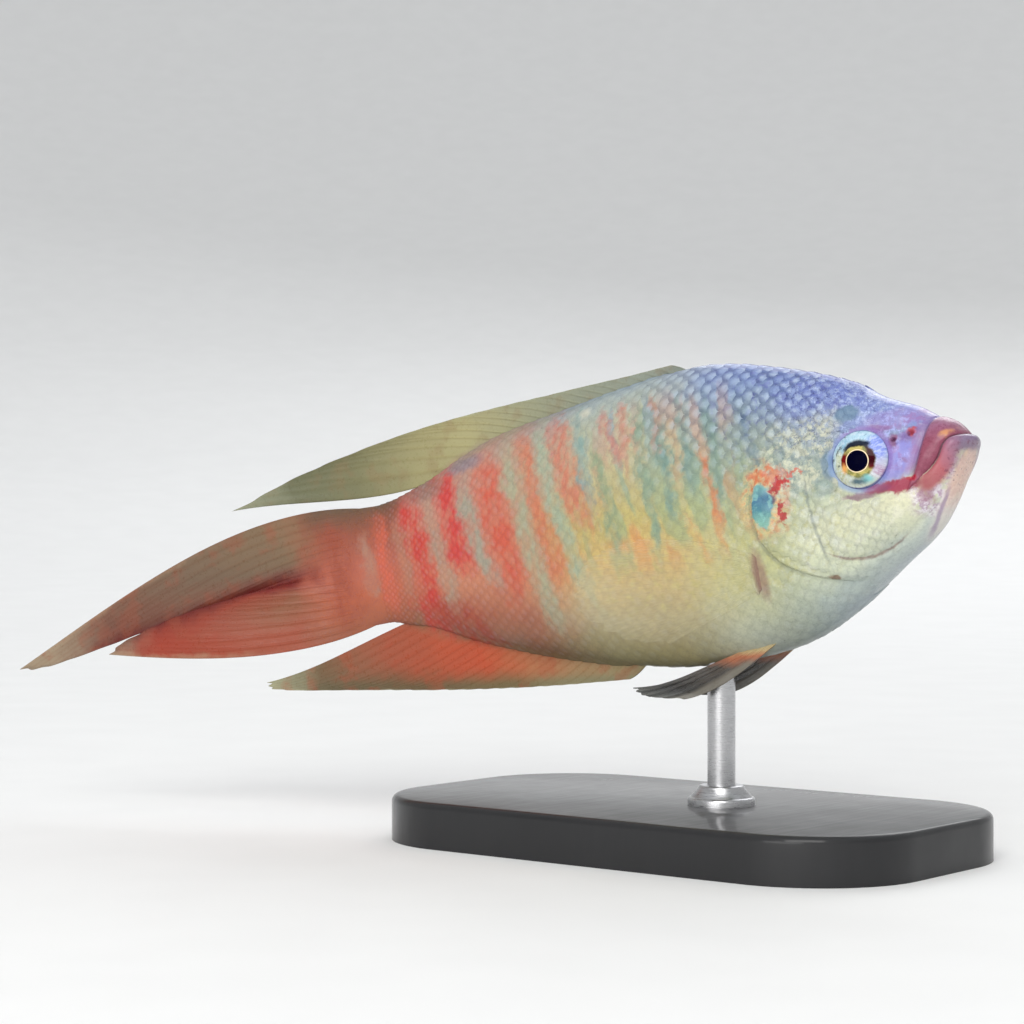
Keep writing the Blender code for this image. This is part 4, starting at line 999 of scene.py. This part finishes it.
def make_fin(name, rays, ray_count, soft_from, shape, material, nodes, edge_height=None, root_half=0.3,
             ragged=0.02):
    """A fin with raised rays, forked from soft_from on. shape(u, z, share, along) gives straight places."""
    share = np.linspace(0, 1, COLUMNS_PER_RAY * (ray_count - 1) + 1)[None, :]
    row = np.linspace(0, 1, FIN_ROWS + 1)[:, None]
    chance = np.random.default_rng(ray_count)
    ray = share * (ray_count - 1)
    from_ray = np.abs(ray - np.round(ray))
    notch_depth = chance.uniform(0.5, 1.6, ray_count)[np.clip(ray.astype(int), 0, ray_count - 1)]
    along = row * (1 - ragged * notch_depth * np.sin(math.pi * from_ray) ** 2)
    soft = step(share, soft_from - 0.02, soft_from + 0.02) if soft_from < 1 else 0 * share
    split = RAY_FORK * step(along, 0.38, 0.8) * soft
    ridge = bump(from_ray - split, RIDGE_HALF) * step(along, 0.02, 0.16)
    half = WEB_HALF + (RAY_HALF - WEB_HALF) * ridge
    half = half + (FIN_TIP_HALF - half) * along ** 1.5
    thick_root = np.clip(1 - along * 9, 0, 1) ** 1.5 * step(np.minimum(share, 1 - share), 0, 0.12)
    half = half + (root_half - half) * thick_root
    u, z = ray_path(rays, share, along, edge_height)
    points = shape(u, z, share, along)
    ripple = RIPPLE * np.sin(share * 23 + along * 5) * step(along, 0.15, 0.8)
    points[..., 1] = points[..., 1] + ripple
    wide = [np.broadcast_to(v, ridge.shape) for v in (share, along, ridge)]
    girth = np.clip((STALK_TOP - points[..., 2]) / STALK_DEPTH, 0, 1)
    bm = sheet(placed(points), place=points, on_fin=np.stack(wide, -1), lines=np.full(points.shape, 9.0),
               girth=girth)
    weights = bm.verts.layers.deform.new()
    for vert, value in zip(bm.verts, (half / root_half).reshape(-1)):
        vert[weights][0] = float(value)
    fin = new_piece(bm, name, material)
    fin.vertex_groups.new(name="thickness")
    solid = fin.modifiers.new("solid", "SOLIDIFY")
    solid.thickness, solid.offset = 2 * root_half * MM, 0
    solid.vertex_group = "thickness"
    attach(fin, "root")
    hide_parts(*nodes)


def fin_material(name, paint, web_alpha, ray_alpha, ray_paint, ray_share=0.3, solid_to=0.12, body_to=None):
    """Fin skin. paint(share, along, back, blotch) gives its colour, and ray_paint dyes its rays.

    body_to(along, back) is the share of the body's own markings that run out on the root."""
    material, net, sockets = new_material(name, Roughness=0.4, Coat_Weight=0.2, Coat_Roughness=0.16,
                                          Coat_IOR=1.36, Specular_IOR_Level=0.25)
    share, along, ridge = net.read("on_fin").parts()
    place = net.read("place")
    blotch = net.noise(place, 0.42, 3.0, 0.6, output=1).parts()
    fine = net.noise(place, 3.4, 4.0, 0.7)
    back = place.parts()[0].shifted(blotch[0], 5.0)
    colour = paint(share.shifted(blotch[0], 0.12), along.shifted(blotch[1], 0.2), back, blotch[2])
    colour = colour.dyed(ridge * ray_share, ray_paint).dyed(fine.rise(0.45, 0.7) * 0.12, (196, 186, 178))
    if body_to:
        colour = colour.mixed(body_to(along.shifted(blotch[1], 0.1), back), fish_colours(net)[0])
    net.feed(sockets["Base Color"], colour)
    alpha = ridge * (ray_alpha - web_alpha) + fine * 0.08 + (web_alpha - 0.04)
    net.feed(sockets["Alpha"], net.math("MAXIMUM", alpha, along.rise(solid_to, 0.0), clamp=True))
    net.feed(sockets["Roughness"], fine.rise(0.95, -0.1))
    joints = net.math("SINE", along * RAY_JOINTS) * ridge * along.rise(0.3, 0.4)
    net.feed(sockets["Normal"], net.bump(joints * 0.1 + fine * 0.6, 0.3, 0.00006))
    return material


def dorsal_paint(share, along, back, blotch):
    colour = back.rise(22, 78).ramp((0, 134, 142, 132), (0.3, 140, 142, 118), (0.52, 160, 154, 112),
                                    (0.66, 146, 140, 100), (0.82, 112, 110, 78), (0.93, 100, 102, 76),
                                    (1, 140, 142, 118))
    return colour.layered((along.rise(0.88, 1.0) * back.rise(66, 40) * 0.5, (176, 182, 160)),
                          (blotch.rise(0.5, 0.65) * 0.3, (130, 104, 72)))


def anal_paint(share, along, back, blotch):
    place = back.rise(32, 78)
    near_body = place.ramp((0, 158, 148, 108), (0.22, 166, 108, 72), (0.4, 178, 76, 46), (0.7, 150, 76, 52),
                           (1, 120, 90, 66))
    outer = place.ramp((0, 140, 136, 104), (0.3, 112, 98, 66), (0.6, 100, 82, 56), (0.9, 96, 86, 62),
                       (1, 150, 150, 122))
    return near_body.layered((along.rise(0.35, 0.85), outer),
                             (along.rise(0.92, 1.0) * 0.5, (164, 162, 132)),
                             (blotch.rise(0.5, 0.64) * 0.3, (164, 66, 40)))


def caudal_paint(share, along, back, blotch):
    upper = along.ramp((0, 150, 92, 66), (0.2, 136, 96, 70), (0.3, 118, 96, 72), (0.55, 108, 88, 70),
                       (0.72, 112, 78, 62), (0.88, 102, 60, 48), (1, 96, 34, 30))
    lower = along.ramp((0, 160, 84, 58), (0.25, 138, 78, 54), (0.5, 134, 84, 60), (0.82, 134, 56, 38),
                       (1, 98, 34, 30))
    tips = (back + share.rise(0.4, 0.6) * 5.0).rise(90, 99)
    return upper.layered(
        (share.rise(0.46, 0.58), lower),
        (share.rise(0.72, 0.92) * along.window(0.2, 0.4, 0.9, 1.0) * 0.5, (160, 56, 36)),
        # The dark red streak between the lobes is the red membrane in the fold, darkened by painted shadow.
        (share.window(0.26, 0.44, 0.56, 0.64) * along.rise(0.2, 0.5) * 0.85, (104, 24, 28)),
        (abs(share - 0.5).rise(0.46, 0.5) * along.rise(0.3, 0.7) * 0.6, (158, 126, 100)),
        (tips * 0.85, (152, 138, 114)),
        (blotch.rise(0.5, 0.64) * 0.35, (140, 70, 48)))


def pectoral_paint(share, along, back, blotch):
    return along.ramp((0, 150, 120, 106), (0.05, 150, 122, 108), (0.12, 182, 170, 130), (0.5, 188, 182, 144),
                      (1, 200, 198, 172))


def pelvic_paint(share, along, back, blotch):
    colour = along.ramp((0, 196, 190, 150), (0.16, 190, 168, 124), (0.26, 176, 112, 82), (0.4, 84, 78, 72),
                        (0.8, 70, 70, 70), (1, 104, 106, 102))
    return colour.mixed(share.rise(0.3, 0.1) * along.rise(0.25, 0.4) * 0.5, (150, 144, 130))


def in_middle(lean):
    """The places of a fin that stands in the middle of the fish, with a lean to the side."""
    return lambda u, z, share, along: np.stack(np.broadcast_arrays(u, lean(share, along), z), -1)


def caudal_place(u, z, share, along):
    """The upper lobe leans to the left and the lower to the right, from the end of the stalk on."""
    upper, lower = 1.1 * np.sin(2.2 * along) * along, -0.9 * np.sin(2.6 * along) * along
    lean = (upper * step(share, 0.5, 0.4) + lower * step(share, 0.5, 0.6)) * step(u, 66.2, 70.5)
    return np.stack(np.broadcast_arrays(u, lean, z), -1)


def at_root(along, back):
    """The body's markings run out a little way from the fin's root."""
    return along.rise(0.16, 0.02)


back_skin = fin_material("back fin skin", dorsal_paint, 0.97, 1.0, (220, 210, 180), body_to=at_root)
belly_skin = fin_material("belly fin skin", anal_paint, 0.97, 1.0, (226, 196, 170), body_to=at_root)
tail_skin = fin_material("tail fin skin", caudal_paint, 0.97, 1.0, (226, 190, 170),
                         body_to=lambda along, back: back.rise(71.5, 66.5))
clear_skin = fin_material("clear fin skin", pectoral_paint, 0.04, 0.13, (206, 186, 150), 0.6, 0.05)
dark_skin = fin_material("dark fin skin", pelvic_paint, 0.78, 0.92, (200, 180, 170), 0.3)

make_fin("back_fin", DORSAL, 20, 0.66, in_middle(lambda s, r: -1.1 * s * s * r * r), back_skin,
         ["dorsal_fin"], lambda u: smooth(BACK, u) - ROOT_IN_SKIN, 0.45)
make_fin("belly_fin", ANAL, 24, 0.6, in_middle(lambda s, r: 0.7 * s * s * r * r), belly_skin,
         ["anal_fin"], lambda u: smooth(BELLY, u) + ROOT_IN_SKIN, 0.45)
make_fin("tail_fin", CAUDAL, 18, -1, caudal_place, tail_skin,
         ["tail_fin_upper", "tail_fin_lower"], None, 0.5, 0.006)
for side, word in ((-1, "right"), (1, "left")):
    def pectoral_place(u, z, share, along, side=side):
        root_u, root_z = ray_path(PECTORAL, share, 0.0)
        out = side_at(root_u, root_z) - ROOT_IN_SKIN + 1.05 * np.clip(along * 7, 0, 1) ** 0.7
        out = out + (u - root_u) * math.tan(PECTORAL_SPREAD) + 0.7 * along * np.sin(3 * share)
        return np.stack(np.broadcast_arrays(u, side * out, z), -1)

    def pelvic_place(u, z, share, along, side=side):
        root_u = ray_path(PELVIC, share, 0.0)[0]
        out = PELVIC_AT + (u - root_u) * math.tan(PELVIC_SPREAD)
        return np.stack(np.broadcast_arrays(u, side * out, z), -1)

    make_fin(f"{word}_breast_fin", PECTORAL, 13, -1, pectoral_place, clear_skin,
             [f"pectoral_fin_{word}"], None, 0.35, 0.03)
    make_fin(f"{word}_pelvic_fin", PELVIC, 6, 0.2, pelvic_place, dark_skin,
             [f"pelvic_fin_{word}"], lambda u: belly_at(u, PELVIC_AT) + ROOT_IN_SKIN, 0.42)


# The stand: a flat block of polished black acrylic with round corners and a softened edge, a turned
# steel collar, and a brushed steel rod that holds the fish under its breast.
BASE_SIZE, BASE_CORNER, BASE_EDGE = (52.0, 30.0, 4.0), 10.0, 0.6
ROD_RADIUS, ROD_FROM, ROD_TO = 1.2, 2.5, 19.0
COLLAR_RADIUS, COLLAR_HEIGHT, COLLAR_EDGE = 2.9, 1.4, 0.25

acrylic, net, sockets = new_material("black acrylic", Coat_Weight=0.5, Coat_Roughness=0.1, Coat_IOR=1.4,
                                     Specular_IOR_Level=0.3)
at = net.add("TexCoord", output="Object")
haze = net.noise(at, 60.0, 4.0, 0.6)
scratches = net.noise(net.add("Mapping", at, (0, 0, 0), (0, 0, 0.5), (2400.0, 90.0, 300.0)), 1.0, 3.0)
net.feed(sockets["Base Color"], haze.ramp((0.3, 22, 22, 24), (0.7, 28, 28, 30)))
net.feed(sockets["Roughness"], (scratches * 0.3 + haze).rise(-0.5, 1.9))
net.feed(sockets["Normal"], net.bump(scratches, 0.04, 0.00002))
bm = bmesh.new()
bmesh.ops.create_cube(bm, size=1)
bmesh.ops.scale(bm, verts=bm.verts, vec=Vector(BASE_SIZE) * MM)
bmesh.ops.translate(bm, verts=bm.verts, vec=Vector((0, 0, BASE_SIZE[2] / 2 * MM)))
upright = [e for e in bm.edges if abs(e.verts[0].co.z - e.verts[1].co.z) > BASE_SIZE[2] / 2 * MM]
for edges, radius, segments in ((upright, BASE_CORNER, 28), (None, BASE_EDGE, 6)):
    edges = edges or [e for e in bm.edges if min(v.co.z for v in e.verts) > BASE_SIZE[2] * 0.99 * MM]
    bmesh.ops.bevel(bm, geom=edges, offset=radius * MM, segments=segments, profile=0.5, affect="EDGES",
                    material=-1)
base = new_piece(bm, "display_base", acrylic)
base.data.set_sharp_from_angle(angle=math.radians(40))
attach(base, "root")
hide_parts("stand_base")

steel, net, sockets = new_material("brushed steel", Metallic=1.0)
at = net.add("TexCoord", output="Object")
streak = net.noise(net.add("Mapping", at, (0, 0, 0), (0, 0, 0), (900.0, 900.0, 9000.0)), 1.0, 4.0, 0.6)
cloud = net.noise(at, 300.0, 3.0)
net.feed(sockets["Base Color"], (streak * 0.6 + cloud * 0.4).ramp((0.3, 168, 168, 170), (0.7, 206, 206, 208)))
net.feed(sockets["Roughness"], streak.rise(-0.6, 2.4))
net.feed(sockets["Normal"], net.bump(streak, 0.15, 0.00003))


def turned_piece(name, profile, node):
    """A round piece about the rod's middle line, from its outline (radius, height) in millimetres."""
    piece = new_piece(turned([(r * MM, z * MM) for r, z in profile], ROD_X * MM), name, steel)
    piece.data.set_sharp_from_angle(angle=math.radians(40))
    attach(piece, "root")
    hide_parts(node)


def rounded(r, z, radius, steps=6):
    """A quarter round at the outline's corner (r, z), from below it to inside it."""
    return [(r - radius + radius * math.cos(a), z - radius + radius * math.sin(a))
            for a in (math.pi / 2 * n / steps for n in range(steps + 1))]


rod_outline = [(0, ROD_FROM), (ROD_RADIUS, ROD_FROM), (ROD_RADIUS, ROD_TO), (0, ROD_TO)]
turned_piece("display_rod", rod_outline, "stand_rod")
collar_low = BASE_SIZE[2]
collar_outline = [(ROD_RADIUS, collar_low), (COLLAR_RADIUS, collar_low),
                  *rounded(COLLAR_RADIUS, collar_low + COLLAR_HEIGHT * 0.5, COLLAR_EDGE),
                  *rounded(COLLAR_RADIUS - 0.9, collar_low + COLLAR_HEIGHT + 0.3, COLLAR_EDGE),
                  (ROD_RADIUS, collar_low + COLLAR_HEIGHT + 0.3)]
turned_piece("display_collar", collar_outline, "stand_collar")
